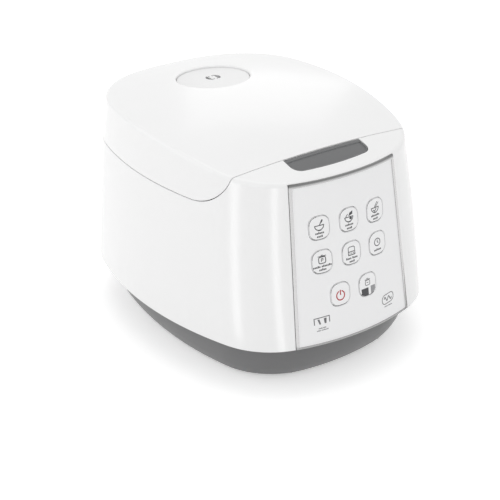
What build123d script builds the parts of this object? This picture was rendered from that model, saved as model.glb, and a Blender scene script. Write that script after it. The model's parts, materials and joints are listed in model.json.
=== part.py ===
"""Electric rice cooker with a hinged lid, as the separate pieces that it is put together from.

Units are millimetres. X is to the right, the control panel faces -Y and +Z is up. The origin is on the
surface that the feet stand on, in the middle of the whole cooker's length and width.
"""
from build123d import *
from math import atan, cos, degrees, pi, radians, sin, sqrt
import os

os.makedirs("parts", exist_ok=True)

# ---- Inner pot, which everything else is built round ----
POT_Y = 26.0
POT_R = 106.8
POT_WALL = 1.8
POT_LIP = 6.2                 # width of the rim beyond the wall
POT_LIP_T = 1.6
POT_BOTTOM_ROUND = 26.0
POT_CLEARANCE = 0.8
POT_LIP_R = POT_R + POT_LIP

# ---- Outer form of casing and lid, as one block ----
SKIRT_Z = 51.4                # lower edge of the casing, where its plan is largest
SIDE_ROOM = 36.3              # from the pot to each side of that plan
FRONT_ROOM = 107.2            # and to its front, where the electronics are
BACK_ROOM = 43.5              # and to its back
HALF_WIDTH = POT_R + SIDE_ROOM
FRONT_Y = POT_Y - POT_R - FRONT_ROOM
BACK_Y = POT_Y + POT_R + BACK_ROOM
SIDE_LEAN = 0.038             # inward run of the sides for each mm of height
SIDE_CURVE = 0.00037          # and for each square mm, so the sides round inwards
FRONT_LEAN = 0.1485
BACK_LEAN = 0.0675
FRONT_ARC = 234.6
SIDE_ARC = 378.2
BACK_ARC = 344.1
SIDE_ARC_Y = 3.7
FRONT_CORNER = 75.9
BACK_CORNER = 103.6
CORNER_ROOM = 16.0            # least distance between a corner's centre and the middle plane
FORM_STEPS = 3
WALL = 2.5
TOP_ROUND = 5.0

# ---- Dome of the lid and of the deck in front of it ----
DOME_Z = 243.4
DOME_Y = 36.7
DOME_FRONT_INSET = 24.0       # the front drop is reached this far inside the plan
DOME_FRONT_DROP = 30.6
DOME_BACK_INSET = 10.9
DOME_BACK_DROP = 14.5
CROWN_INSET = 15.9
CROWN_DROP = 10.7             # fall from the middle to the sides
CROWN_FADE = 0.6              # share of the crown that is gone at the front and back edges
DOME_OVERHANG = 12.0
DOME_FRONT_RUN = DOME_Y - FRONT_Y - DOME_FRONT_INSET
DOME_BACK_RUN = BACK_Y - DOME_Y - DOME_BACK_INSET
CROWN_RUN = HALF_WIDTH - CROWN_INSET

# ---- Parting line between casing and lid ----
LID_H = 55.2
SEAM_RISE = 35.0              # height of its curved front stretch
SEAM_FRONT_INSET = 63.8
SEAM_BEND = 42.5              # length of its curved front stretch
SEAM_GAP = 0.8
SEAM_Z = DOME_Z - LID_H
SEAM_RISE_Z = SEAM_Z + SEAM_RISE
SEAM_FRONT_Y = FRONT_Y + SEAM_FRONT_INSET
SEAM_BEND_Y = SEAM_FRONT_Y + SEAM_BEND

# ---- Base ----
BASE_BOTTOM_Z = 5.0
BASE_MIDDLE_Z = 28.0
BASE_TOP_INSETS = (11.0, 10.5)        # at the sides and at the ends, from the casing's lower edge
BASE_MIDDLE_INSETS = (15.5, 15.5)
BASE_BOTTOM_INSETS = (29.0, 32.5)
BASE_CORNER_GROWTH = 29.0
BASE_WALL = 2.4
FLANGE_RECESS = 2.0
FLANGE_T = 2.4
FLANGE_GAP = 0.5
LIP_INSET = 0.8               # edge of the lip under the casing, from the casing's face
LIP_T = 1.2
LIP_WALL = 1.2                # upright wall between the lip and the flange
FIT_GAP = 0.2
FOOT_R = 9.0
FOOT_ROUND = 1.0
FOOT_PLUG_H = 1.5
FOOT_X = HALF_WIDTH - 65.1
FOOT_Y = (FRONT_Y + 84.0, BACK_Y - 72.3)
VENT_SLOT = (3.0, 46.0)
VENT_SLOT_PITCH = 9.0
VENT_SLOT_COUNT = 9
VENT_SLOT_Y = (POT_Y - 96.0, POT_Y + 62.0)
BOSS_R = 4.2
BOSS_H = 24.0
BOSS_INSET = 7.5
BOSS_FLOOR = 4.0              # solid end of a screw's hole
SCREW_R = 1.5
SCREW_HEAD_R = 3.2
SCREW_HEAD_T = 1.9
SCREW_HEAD_SINK = 1.2         # thickness of a flat head let into a sheet
SCREW_SPARE = 2.0             # empty end of a screw's hole

# ---- Well round the pot ----
COLLAR_RIM = 6.0              # width of the collar beyond the pot's rim
COLLAR_T = 1.3
COLLAR_DEPTH = 10.0
COLLAR_WALL = 2.2
COLLAR_LEDGE = 4.0            # width of the deck under the collar
COLLAR_R = POT_LIP_R + COLLAR_RIM
SHIELD_T = 0.6
SHIELD_GAP = 0.5
SHIELD_FLOOR_Z = 30.0
SHIELD_HOLE_R = 72.0
SHIELD_RIM = 3.0
SHIELD_FLANGE_R = COLLAR_R + SHIELD_RIM
SHIELD_R = POT_R + POT_CLEARANCE + COLLAR_WALL + SHIELD_GAP

# ---- Heater and sensor ----
PLATE_TOP_Z = 48.0
PLATE_T = 10.0
PLATE_INSET = 18.8            # from the pot's wall
PLATE_EDGE = 1.5
PLATE_R = POT_R - PLATE_INSET
PLATE_LOW_Z = PLATE_TOP_Z - PLATE_T
ELEMENT_RING_R = 62.0
ELEMENT_R = 4.5
ELEMENT_SWEEP = 310.0
ELEMENT_END = (4.0, 16.0)     # radius and length of the cold ends
ELEMENT_STUD = (2.0, 22.0)    # radius and reach of the terminals
STANDOFF_R = 5.0
STANDOFF_RING_R = 44.0
SENSOR_R = 14.0
SENSOR_H = 14.0
SENSOR_WALL = 1.2
SENSOR_FLANGE_R = 17.0
SENSOR_FLANGE_T = 1.0
SLIDE_CLEARANCE = 0.3
SENSOR_WIRE_R = 0.7
SENSOR_TURNS = 4
BRACKET_Z = 18.0
BRACKET_T = 1.5
BRACKET_HALF = (30.0, 11.0)
BRACKET_FOOT = 7.0
GUIDE_R = (5.0, 6.5)
GUIDE_H = 7.0
FUSE_X = -48.0
FUSE_R = 3.0
FUSE_L = 22.0
FUSE_CLAMP = 8.0

# ---- Control panel ----
PANEL_TOP_DROP = 29.9         # below the dome's top
PANEL_TOP_HALF = 61.5
PANEL_BOTTOM_HALF = 69.0
PANEL_RECESS = 1.2
PANEL_FRAME_W = 3.2
PANEL_FRAME_TOP_W = 4.0
PANEL_FRAME_BOTTOM_W = 1.6
PANEL_FRAME_PROUD = 0.5
PANEL_FRAME_GAP = 0.4         # shadow gap round the trim
PANEL_TOP_Z = DOME_Z - PANEL_TOP_DROP
OVERLAY_SINK = 0.2
KEY_W = 21.6
KEY_H = 23.3
KEY_ROUND = 8.2
KEY_PITCH = 32.7
KEY_MIDDLE_X = -2.2
KEY_ROW_DROPS = (45.5, 78.8, 116.0)   # below the panel's top edge
KEY_PROUD = 0.3
KEY_GAP = 0.45
KEY_BACK = 8.0                # depth of a key's back behind the panel's middle line
KEY_TRAVEL = 0.6
BOARD_DEPTH = 14.0
BOARD_T = 1.6
BOARD_W = 112.0
BOARD_H = 110.0
BOARD_ROUND = 3.0
BOARD_DROP = 81.0             # middle of the board below the panel's top edge
BOARD_Z = PANEL_TOP_Z - BOARD_DROP
BOARD_BOSS_INSET = 5.0
BOARD_BOSS_R = 3.5
SWITCH_W = 6.0
SWITCH_H = 3.4
PLUNGER_R = 1.7
LED_R = 1.5
LED_H = 3.0
LED_OFFSET = 8.0

# ---- Opening button and latch ----
BUTTON_HALF = 44.0
BUTTON_FRONT_INSET = 40.3     # from the casing's lower front edge
BUTTON_BOW = 4.2
BUTTON_ROUND = 10.0
BUTTON_GAP = 0.7
BUTTON_SINK = 0.6
BUTTON_DEPTH = 5.6
BUTTON_SKIN = 2.4
BUTTON_DISH = 0.8
BUTTON_RIM = 1.2
BUTTON_BACK_RIM = 4.0
BUTTON_FLOOR_DROP = 31.9      # opening's floor below the dome's top
BUTTON_FRONT_Y = FRONT_Y + BUTTON_FRONT_INSET
BUTTON_SIDE_FRONT_Y = BUTTON_FRONT_Y + BUTTON_BOW
BUTTON_FLOOR_Z = DOME_Z - BUTTON_FLOOR_DROP
STEM_HALF = 3.0
STEM_Y = (-2.4, -0.4)         # faces of the stem, from the arm's end
STEM_LOW = 8.3                # above the latch pin
LATCH_SETBACK = 6.8           # latch pin in front of the lid's front wall
LATCH_DROP = 0.2              # latch pin below the parting line
LATCH_Y = SEAM_FRONT_Y - LATCH_SETBACK
LATCH_Z = SEAM_Z - LATCH_DROP
LATCH_ARM = 14.0
LATCH_ARM_Z = (3.5, 8.0)      # underside and top of the arm above the pin
LATCH_TIP = 3.0
LATCH_HALF = 13.5
LATCH_PIN_R = 1.5
LATCH_HUB_R = 4.0
LATCH_STEM_T = 5.4
LATCH_NOSE = (11.4, 16.8, 20.0)       # reach behind the pin, then lower and upper height above it
LATCH_RIB_T = 2.5
LATCH_RIB_GAP = 0.5
LATCH_RIB_Y = (-20.0, 27.3)   # ends of the ribs in front of and behind the pin
LATCH_RIB_TOP = 17.0
LATCH_FLOOR = 10.0            # floor of the ribs below the pin
LATCH_FLOOR_T = 2.0
LATCH_SLOT_Y = (2.0, 20.0)
LATCH_SLOT_GAP = (0.4, 2.0, 6.0)      # beside, below and above the nose
LATCH_SPRING_R = 4.0
LATCH_WIRE_R = 0.6
LATCH_TURNS = 5
RUN_CLEARANCE = 0.05

# ---- Hinge ----
HINGE_INSET = 13.8            # pin from the casing's lower back edge
HINGE_RISE = 5.8              # pin above the parting line
HINGE_Y = BACK_Y - HINGE_INSET
HINGE_Z = SEAM_Z + HINGE_RISE
HINGE_R = 8.0
HINGE_SWEEP_R = 9.3
HINGE_PIN_R = 2.5
HINGE_BARREL_HALF = 23.0
HINGE_LUG_IN = 34.0
HINGE_LUG_OUT = 45.0
HINGE_WINDOW_HALF = 46.2
HINGE_WINDOW_SETBACK = 10.5
HINGE_WINDOW_DROP = 4.2
HINGE_WINDOW_Y = HINGE_Y - HINGE_WINDOW_SETBACK
HINGE_WINDOW_Z = SEAM_Z - HINGE_WINDOW_DROP
HINGE_PLATE_T = 3.0
HINGE_PLATE_SIDE = 14.0
HINGE_WIRE_R = 1.0
HINGE_TURNS = 4
HINGE_SPRING_PLAY = (0.05, 0.7)       # round the pin, and at the barrel's end

# ---- Lid ----
LINER_GAP = 0.15
LINER_T = 2.5
LINER_RECESS = 1.4            # above the cover's lower edge
LINER_Z = SEAM_Z + SEAM_GAP + LINER_RECESS
LID_WELL_MARGIN = 3.0         # beyond the pot's rim
LID_WELL_RISE = 5.0           # above the parting line
LID_WELL_R = POT_LIP_R + LID_WELL_MARGIN
LID_WELL_Z = SEAM_Z + LID_WELL_RISE
GASKET_W = 9.0
GASKET_LIFT = 0.2
GASKET_INSET = 1.0
GASKET_R = POT_LIP_R - GASKET_INSET
INNER_LID_T = 1.2
INNER_LID_HOLD = 5.0          # width of the plate inside the gasket's groove
INNER_LID_RISE = 2.8
INNER_LID_R = GASKET_R - GASKET_W + INNER_LID_HOLD
INNER_LID_Z = SEAM_Z + INNER_LID_RISE
STEAM_HOLE_R = 1.6
STEAM_HOLE_RING_R = 5.5
STEAM_HOLE_COUNT = 6
GROMMET_R = 9.0
GROMMET_H = 3.0
GROMMET_POST_R = 4.0
GROMMET_POST_END = 0.2        # of the post below the knob
POST_R = 4.5
POST_DEPTH = 18.0
POST_SPARE = 1.0
POST_FRONT = (HALF_WIDTH - 31.1, POT_Y - 56.0)
POST_BACK = (HALF_WIDTH - 39.1, POT_Y + 66.0)
CATCH_HALF = 12.0
CATCH_DROP = 2.3
CATCH_T = 1.5
CATCH_DEPTH = 14.0
CATCH_WINDOW_H = 8.5

# ---- Steam vent ----
VENT_SETBACK = 40.9           # behind the pot's middle
VENT_Y = POT_Y + VENT_SETBACK
VENT_R = 39.2
VENT_MOUTH_ROUND = 1.6
VENT_CAP_ROUND = 0.8
VENT_CAP_GAP = 0.5
VENT_SINK = 2.4
VENT_CAP_T = 2.0
VENT_LEDGE = 5.8
VENT_CUP_R = 29.0
VENT_CUP_WALL = 1.6
VENT_CUP_DROP = 38.4          # cup's floor below the dome's top
VENT_CUP_Z = DOME_Z - VENT_CUP_DROP
VENT_NOZZLE_R = 8.0
VENT_NOZZLE_END = 1.0         # above the lid's recess
VENT_DUCT_GAP = 1.0
VENT_DUCT_WALL = 1.8
VENT_DUCT_DROP = 14.4
VENT_DUCT_TOP_Z = DOME_Z - VENT_DUCT_DROP
VENT_OUTLET_R = (4.6, 6.8)
VENT_BRIDGE_HALF = 3.4
VENT_SEAL = (3.0, 3.0)        # width and height
VENT_SEAL_GAP = 0.2

# ---- Mains inlet ----
INLET_RISE = 32.6             # above the casing's lower edge
INLET_Z = SKIRT_Z + INLET_RISE
INLET_HALF = (17.0, 13.0)
INLET_DEPTH = 27.0
INLET_FLANGE = (25.0, 16.5)
INLET_FLANGE_T = 2.0
INLET_FLANGE_ROUND = 4.0
SOCKET_HALF = (13.8, 9.8)
SOCKET_DEPTH = 18.0
SOCKET_ROUND = 3.0
PIN_SIZE = (2.0, 12.0, 4.0)
PIN_PLACES = ((-7.0, 2.0), (0.0, -2.5), (7.0, 2.0))

# ---- Condensation collector ----
COLLECTOR_HALF = 33.5
COLLECTOR_GAP = 1.5
COLLECTOR_INSET = 27.3        # front face from the casing's lower back edge
COLLECTOR_PROUD = 12.2        # back face beyond that edge
COLLECTOR_DROP = 21.2         # rim below the parting line
COLLECTOR_CLEAR = 17.9        # floor above the mains inlet's flange
COLLECTOR_FRONT_Y = BACK_Y - COLLECTOR_INSET
COLLECTOR_BACK_Y = BACK_Y + COLLECTOR_PROUD
COLLECTOR_TOP_Z = SEAM_Z - COLLECTOR_DROP
COLLECTOR_Z = INLET_Z + INLET_FLANGE[1] + COLLECTOR_CLEAR
COLLECTOR_WALL = 1.8
COLLECTOR_ROUND = 11.0
POCKET_WALL = 2.0
POCKET_FRONT_GAP = 1.0
POCKET_FLOOR_GAP = 0.3
POCKET_ROOF_GAP = 3.0
POCKET_INSET = 4.0            # end of its walls inside the casing's back
DRIP_HALF = 10.0
DRIP_Y = (COLLECTOR_FRONT_Y + 5.0, COLLECTOR_FRONT_Y + 11.0)

# ---- Electronics in the base ----
POWER_BOARD = (120.0, 62.0)
POWER_BOARD_INSET = 66.0
POWER_BOARD_Y = FRONT_Y + POWER_BOARD_INSET
POWER_BOARD_Z = 24.0
POWER_BOARD_TOP_Z = POWER_BOARD_Z + BOARD_T
BOARD_POST_R = 3.5
BOARD_POST_INSET = 6.0
RELAY_X = (24.0, 44.0)
RELAY_HALF = 8.0
RELAY_H = 16.0
CORE_X = (-46.0, -16.0)
CORE_HALF = 12.0
CORE_H = 22.0
WINDING_X = (-40.0, -22.0)
WINDING_HALF = 16.0
WINDING_H = 18.0
CAPACITOR_X = (-4.0, 9.0)
CAPACITOR_R = 5.0
CAPACITOR_H = 18.0
CAPACITOR_OFFSET = 16.0

# ---- Reach of the blocks that cut or bound ----
FAR = 400.0
CUT = 1.0                     # how far a cut runs past the face that it opens
FORM_TOP_Z = DOME_Z + 8.6


# ---- Form helpers ----
def half_width_at(z):
    """Half width of the outer form at a height."""
    rise = z - SKIRT_Z
    return HALF_WIDTH - SIDE_LEAN * rise - SIDE_CURVE * rise**2


def front_at(z):
    """Y of the outer form's front on the middle line."""
    return FRONT_Y + FRONT_LEAN * (z - SKIRT_Z)


def back_at(z):
    """Y of the outer form's back on the middle line."""
    return BACK_Y - BACK_LEAN * (z - SKIRT_Z)


def crossing(first_circle, second_circle, near):
    """Crossing of two circles, each a centre and a radius, that lies nearest to a point."""
    first, first_radius = first_circle
    second, second_radius = second_circle
    span = second - first
    along = (first_radius**2 - second_radius**2 + span.length**2) / (2 * span.length)
    across = sqrt(first_radius**2 - along**2)
    unit = span.normalized()
    side = Vector(-unit.Y, unit.X)
    middle = first + unit * along
    return min(middle + side * across, middle - side * across, key=lambda point: (point - near).length)


def reach(centre, towards, radius):
    """Point on a circle in the direction of another point."""
    return centre + (towards - centre).normalized() * radius


def plan_points(half_width, front, back, inset=0.0, corner_growth=0.0):
    """Right-hand points of the plan outline, from the middle of the front round to the middle of the back."""
    radius_front = FRONT_ARC - inset
    radius_side = SIDE_ARC - inset
    radius_back = BACK_ARC - inset
    widest = half_width - CORNER_ROOM
    corner_front = min(FRONT_CORNER + corner_growth, widest) - inset
    corner_back = min(BACK_CORNER + corner_growth, widest) - inset
    centre_front = Vector(0, front + inset + radius_front)
    centre_side = Vector(half_width - inset - radius_side, SIDE_ARC_Y)
    centre_back = Vector(0, back - inset - radius_back)
    turn_front = crossing(
        (centre_front, radius_front - corner_front),
        (centre_side, radius_side - corner_front),
        Vector(half_width, front),
    )
    turn_back = crossing(
        (centre_back, radius_back - corner_back),
        (centre_side, radius_side - corner_back),
        Vector(half_width, back),
    )
    front_end = reach(centre_front, turn_front, radius_front)
    side_start = reach(centre_side, turn_front, radius_side)
    side_end = reach(centre_side, turn_back, radius_side)
    back_start = reach(centre_back, turn_back, radius_back)
    return [
        Vector(0, front + inset),
        front_end,
        reach(turn_front, (front_end + side_start) / 2, corner_front),
        side_start,
        Vector(half_width - inset, SIDE_ARC_Y),
        side_end,
        reach(turn_back, (side_end + back_start) / 2, corner_back),
        back_start,
        Vector(0, back - inset),
    ]


def plan_face(z, half_width, front, back, inset=0.0, corner_growth=0.0):
    """Level face inside four shallow arcs joined by tangent corner arcs, symmetric in X."""
    right = plan_points(half_width, front, back, inset, corner_growth)
    left = [Vector(-point.X, point.Y) for point in right]
    arcs = [
        ThreePointArc(left[1], right[0], right[1]),
        ThreePointArc(right[1], right[2], right[3]),
        ThreePointArc(right[3], right[4], right[5]),
        ThreePointArc(right[5], right[6], right[7]),
        ThreePointArc(right[7], right[8], left[7]),
        ThreePointArc(left[7], left[6], left[5]),
        ThreePointArc(left[5], left[4], left[3]),
        ThreePointArc(left[3], left[2], left[1]),
    ]
    return Pos(0, 0, z) * Face(Wire(arcs))


def boss_places():
    """Places (x, y) of the right-hand base screws, inside the casing's front and back corners."""
    inner = plan_points(HALF_WIDTH, FRONT_Y, BACK_Y, BOSS_INSET)
    return [(inner[2].X, inner[2].Y), (inner[6].X, inner[6].Y)]


def form_block(inset=0.0, bottom=SKIRT_Z):
    """The leaning outer form without its dome, moved inwards by inset."""
    levels = [bottom + (FORM_TOP_Z - bottom) * step / FORM_STEPS for step in range(FORM_STEPS + 1)]
    return loft([plan_face(z, half_width_at(z), front_at(z), back_at(z), inset) for z in levels])


def dome_section(y, lower):
    """Upright face across the cooker under the dome's arc."""
    run = y - DOME_Y
    if run < 0:
        share = (run / DOME_FRONT_RUN) ** 2
        middle_z = DOME_Z - lower - DOME_FRONT_DROP * share
    else:
        share = (run / DOME_BACK_RUN) ** 2
        middle_z = DOME_Z - lower - DOME_BACK_DROP * share
    reach = HALF_WIDTH + DOME_OVERHANG
    side_z = middle_z - CROWN_DROP * (reach / CROWN_RUN) ** 2 * (1 - CROWN_FADE * share)
    foot_left = Vector(-reach, y, 0)
    foot_right = Vector(reach, y, 0)
    shoulder_left = Vector(-reach, y, side_z)
    shoulder_right = Vector(reach, y, side_z)
    edges = [
        Line(foot_left, foot_right),
        Line(foot_right, shoulder_right),
        ThreePointArc(shoulder_right, Vector(0, y, middle_z), shoulder_left),
        Line(shoulder_left, foot_left),
    ]
    return Face(Wire(edges))


def dome_block(lower=0.0):
    """Everything under the dome, lowered by a distance."""
    reach = DOME_OVERHANG - FRONT_Y
    return loft([dome_section(y, lower) for y in (-reach, -reach / 2, 0, reach / 2, reach)])


def above_seam(offset=0.0):
    """Block above and behind the parting line, moved up and back by offset."""
    floor_z = SEAM_Z + offset
    face_y = SEAM_FRONT_Y + offset
    bend = EllipticalCenterArc(
        (SEAM_BEND_Y, SEAM_RISE_Z), SEAM_BEND_Y - face_y, SEAM_RISE_Z - floor_z, start_angle=180, arc_size=90
    )
    rest = Polyline((SEAM_BEND_Y, floor_z), (FAR, floor_z), (FAR, FAR), (face_y, FAR), (face_y, SEAM_RISE_Z))
    return extrude(make_face(Plane.YZ * (bend + rest)), FAR, both=True)


def span_box(x_range, y_range, z_range):
    """Box between low and high corners."""
    size = [high - low for low, high in (x_range, y_range, z_range)]
    middle = [(high + low) / 2 for low, high in (x_range, y_range, z_range)]
    return Pos(*middle) * Box(*size)


def column(x, y, radius, low, high):
    """Upright cylinder between two heights."""
    return Pos(x, y, (low + high) / 2) * Cylinder(radius, high - low)


def tube(x, y, inner, outer, low, high):
    """Upright tube between two heights."""
    return column(x, y, outer, low, high) - column(x, y, inner, low - 1, high + 1)


def cross_rod(y, z, radius, half_length):
    """Rod along X through a point of the middle plane."""
    return Pos(0, y, z) * Rot(0, 90, 0) * Cylinder(radius, 2 * half_length)


def mirrored(shape):
    """A shape and its mirror image on the other side of the middle plane."""
    return shape + mirror(shape, about=Plane.YZ)


PANEL_NORMAL = Vector(0, -cos(atan(FRONT_LEAN)), sin(atan(FRONT_LEAN)))


def panel_plane(x, z, depth=0.0):
    """Plane parallel to the panel's middle line, a depth behind it, facing outwards."""
    origin = Vector(x, front_at(z), z) - PANEL_NORMAL * depth
    return Plane(origin=origin, x_dir=(1, 0, 0), z_dir=PANEL_NORMAL)


def panel_prism(margin=0.0, margin_top=0.0, margin_bottom=0.0):
    """Prism through the front in the panel's outline, with each edge moved inwards."""
    bottom = SKIRT_Z + margin_bottom - (0 if margin_bottom else CUT)
    outline = Polyline(
        (-PANEL_BOTTOM_HALF + margin, bottom),
        (PANEL_BOTTOM_HALF - margin, bottom),
        (PANEL_TOP_HALF - margin, PANEL_TOP_Z - margin_top),
        (-PANEL_TOP_HALF + margin, PANEL_TOP_Z - margin_top),
        close=True,
    )
    return extrude(make_face(Plane.XZ * outline), -SEAM_FRONT_Y + FAR / 2) - span_box(
        (-FAR, FAR), (SEAM_FRONT_Y, FAR), (-FAR, FAR)
    )


def key_places():
    """Name and middle (x, z) of each key."""
    upper, lower, last = [PANEL_TOP_Z - drop for drop in KEY_ROW_DROPS]
    columns = (-KEY_PITCH, 0.0, KEY_PITCH)
    places = {}
    for row, z in enumerate((upper, lower)):
        for place, x in enumerate(columns):
            places[f"key_program_{row * 3 + place + 1}"] = (KEY_MIDDLE_X + x, z)
    places["key_power"] = (KEY_MIDDLE_X - KEY_PITCH / 2, last)
    places["key_keep_warm"] = (KEY_MIDDLE_X + KEY_PITCH / 2, last)
    return places


def key_prism(place, growth=0.0, depth=KEY_BACK):
    """Prism in a key's outline from a depth behind the panel outwards."""
    outline = RectangleRounded(KEY_W + 2 * growth, KEY_H + 2 * growth, KEY_ROUND + growth)
    return extrude(panel_plane(*place, depth) * outline, depth + 5 * CUT)


def button_face(growth=0.0):
    """Plan of the opening button: straight along the lid, bowed and rounded in front."""
    half = BUTTON_HALF + growth
    back = SEAM_FRONT_Y - 0.4 + growth
    side_front = BUTTON_SIDE_FRONT_Y - growth
    front_bow = ThreePointArc((-half, side_front), (0, BUTTON_FRONT_Y - growth), (half, side_front))
    rest = Polyline((half, side_front), (half, back), (-half, back), (-half, side_front))
    face = make_face(front_bow + rest)
    corners = face.vertices().sort_by(Axis.Y)[:2]
    return fillet(corners, BUTTON_ROUND + growth)


def button_prism(growth=0.0, low=BUTTON_FLOOR_Z):
    """Upright prism in the button's plan."""
    return extrude(Pos(0, 0, low) * button_face(growth), FORM_TOP_Z - low)


def coil(radius, wire, height, turns):
    """Coil spring standing on Z = 0, as tilted half rings that meet end to end."""
    rise = (height - 2 * wire) / (2 * turns)
    tilt = atan(rise / 2 / radius)
    section = Plane(origin=(0, -radius / cos(tilt), 0), z_dir=(1, 0, 0)) * Circle(wire)
    half_ring = Rot(degrees(tilt), 0, 0) * revolve(section, Axis.Z, 180)
    spring = None
    for step in range(2 * turns):
        half = Pos(0, 0, wire + rise * (step + 0.5)) * Rot(0, 0, 180 * step) * half_ring
        spring = half if spring is None else spring + half
    return spring


# ---- Shared blocks ----
FORM = form_block()
FORM_IN = form_block(WALL, bottom=SKIRT_Z - DOME_OVERHANG)
DOME = dome_block()
DOME_IN = dome_block(WALL)
PANEL_FLOOR = form_block(PANEL_RECESS)
PANEL_FACE = form_block(OVERLAY_SINK)
BODY = FORM & DOME
BODY = fillet(BODY.faces().sort_by(Axis.Z)[-1].edges(), TOP_ROUND)
CASING_BLOCK = BODY - above_seam()


# ---- Casing ----
def latch_ribs():
    """Two ribs and a floor behind the front deck that hold the latch pin and its spring."""
    inner = LATCH_HALF + LATCH_RIB_GAP
    outer = inner + LATCH_RIB_T
    along = (LATCH_Y + LATCH_RIB_Y[0], LATCH_Y + LATCH_RIB_Y[1])
    floor_top = LATCH_Z - LATCH_FLOOR
    rib = span_box((inner, outer), along, (floor_top, LATCH_Z + LATCH_RIB_TOP))
    floor = span_box((-outer, outer), along, (floor_top - LATCH_FLOOR_T, floor_top))
    ribs = (mirrored(rib) + floor) & CASING_BLOCK
    return ribs - cross_rod(LATCH_Y, LATCH_Z, LATCH_PIN_R, outer + CUT)


def collector_pocket(grow):
    """Space for the collector, or with grow the block that walls it."""
    half = COLLECTOR_HALF + COLLECTOR_GAP + grow
    back = BACK_Y - POCKET_INSET if grow else FAR
    return span_box(
        (-half, half),
        (COLLECTOR_FRONT_Y - POCKET_FRONT_GAP - grow, back),
        (COLLECTOR_Z - POCKET_FLOOR_GAP - grow, COLLECTOR_TOP_Z + POCKET_ROOF_GAP + grow),
    )


def base_bosses():
    """Four screw bosses that grow out of the casing's lower corners."""
    low = SKIRT_Z + FLANGE_RECESS + FLANGE_T
    bosses = None
    for x, y in boss_places():
        hole = column(x, y, SCREW_R, low - CUT, low + BOSS_H - BOSS_FLOOR)
        boss = column(x, y, BOSS_R, low, low + BOSS_H) - hole
        bosses = mirrored(boss) if bosses is None else bosses + mirrored(boss)
    return bosses & FORM


def board_bosses():
    """Four bosses behind the panel that carry the control board."""
    bosses = None
    x = BOARD_W / 2 - BOARD_BOSS_INSET
    rise = BOARD_H / 2 - BOARD_BOSS_INSET
    for z in (BOARD_Z - rise, BOARD_Z + rise):
        boss = extrude(panel_plane(x, z, BOARD_DEPTH) * Circle(BOARD_BOSS_R), BOARD_DEPTH)
        bosses = mirrored(boss) if bosses is None else bosses + mirrored(boss)
    return bosses & PANEL_FLOOR


def outer_casing():
    """White moulded casing: skirt walls, deck round the pot, front deck and collector pocket."""
    hollow = (FORM_IN & DOME_IN) - above_seam(-WALL)
    shell = CASING_BLOCK - hollow
    shell += latch_ribs()
    shell += collector_pocket(POCKET_WALL) & CASING_BLOCK
    shell -= collector_pocket(0)
    shell -= span_box((-DRIP_HALF, DRIP_HALF), DRIP_Y, (COLLECTOR_TOP_Z, HINGE_WINDOW_Z - WALL))
    shell -= column(0, POT_Y, COLLAR_R - COLLAR_LEDGE, SEAM_Z - COLLAR_DEPTH, FORM_TOP_Z)
    shell -= column(0, POT_Y, COLLAR_R + LINER_GAP, SEAM_Z - COLLAR_T, FORM_TOP_Z)
    shell -= span_box(
        (-HINGE_WINDOW_HALF, HINGE_WINDOW_HALF), (HINGE_WINDOW_Y, FAR), (HINGE_WINDOW_Z, FORM_TOP_Z)
    )
    shell -= button_prism(BUTTON_GAP)
    beside, below, above = LATCH_SLOT_GAP
    shell -= span_box(
        (-LATCH_HALF - beside, LATCH_HALF + beside),
        (LATCH_Y + LATCH_SLOT_Y[0], LATCH_Y + LATCH_SLOT_Y[1]),
        (LATCH_Z + LATCH_NOSE[1] - below, LATCH_Z + LATCH_NOSE[2] + above),
    )
    shell -= panel_prism() - PANEL_FLOOR
    shell += board_bosses()
    for place in key_places().values():
        shell -= key_prism(place, KEY_GAP)
    shell -= span_box(
        (-INLET_HALF[0] - FIT_GAP, INLET_HALF[0] + FIT_GAP),
        (back_at(INLET_Z) - INLET_DEPTH, FAR),
        (INLET_Z - INLET_HALF[1] - FIT_GAP, INLET_Z + INLET_HALF[1] + FIT_GAP),
    )
    return shell + base_bosses()


# ---- Base ----
def base_block(inset=0.0):
    """Bowl form of the base, moved inwards by inset."""
    faces = []
    levels = (
        (BASE_BOTTOM_Z, BASE_BOTTOM_INSETS),
        (BASE_MIDDLE_Z, BASE_MIDDLE_INSETS),
        (SKIRT_Z + FLANGE_RECESS + FLANGE_T, BASE_TOP_INSETS),
    )
    for z, (side, end) in levels:
        half = HALF_WIDTH - side - inset
        length = end + inset
        faces.append(plan_face(z, half, FRONT_Y + length, BACK_Y - length, 0.0, BASE_CORNER_GROWTH - length))
    return loft(faces)


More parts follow.
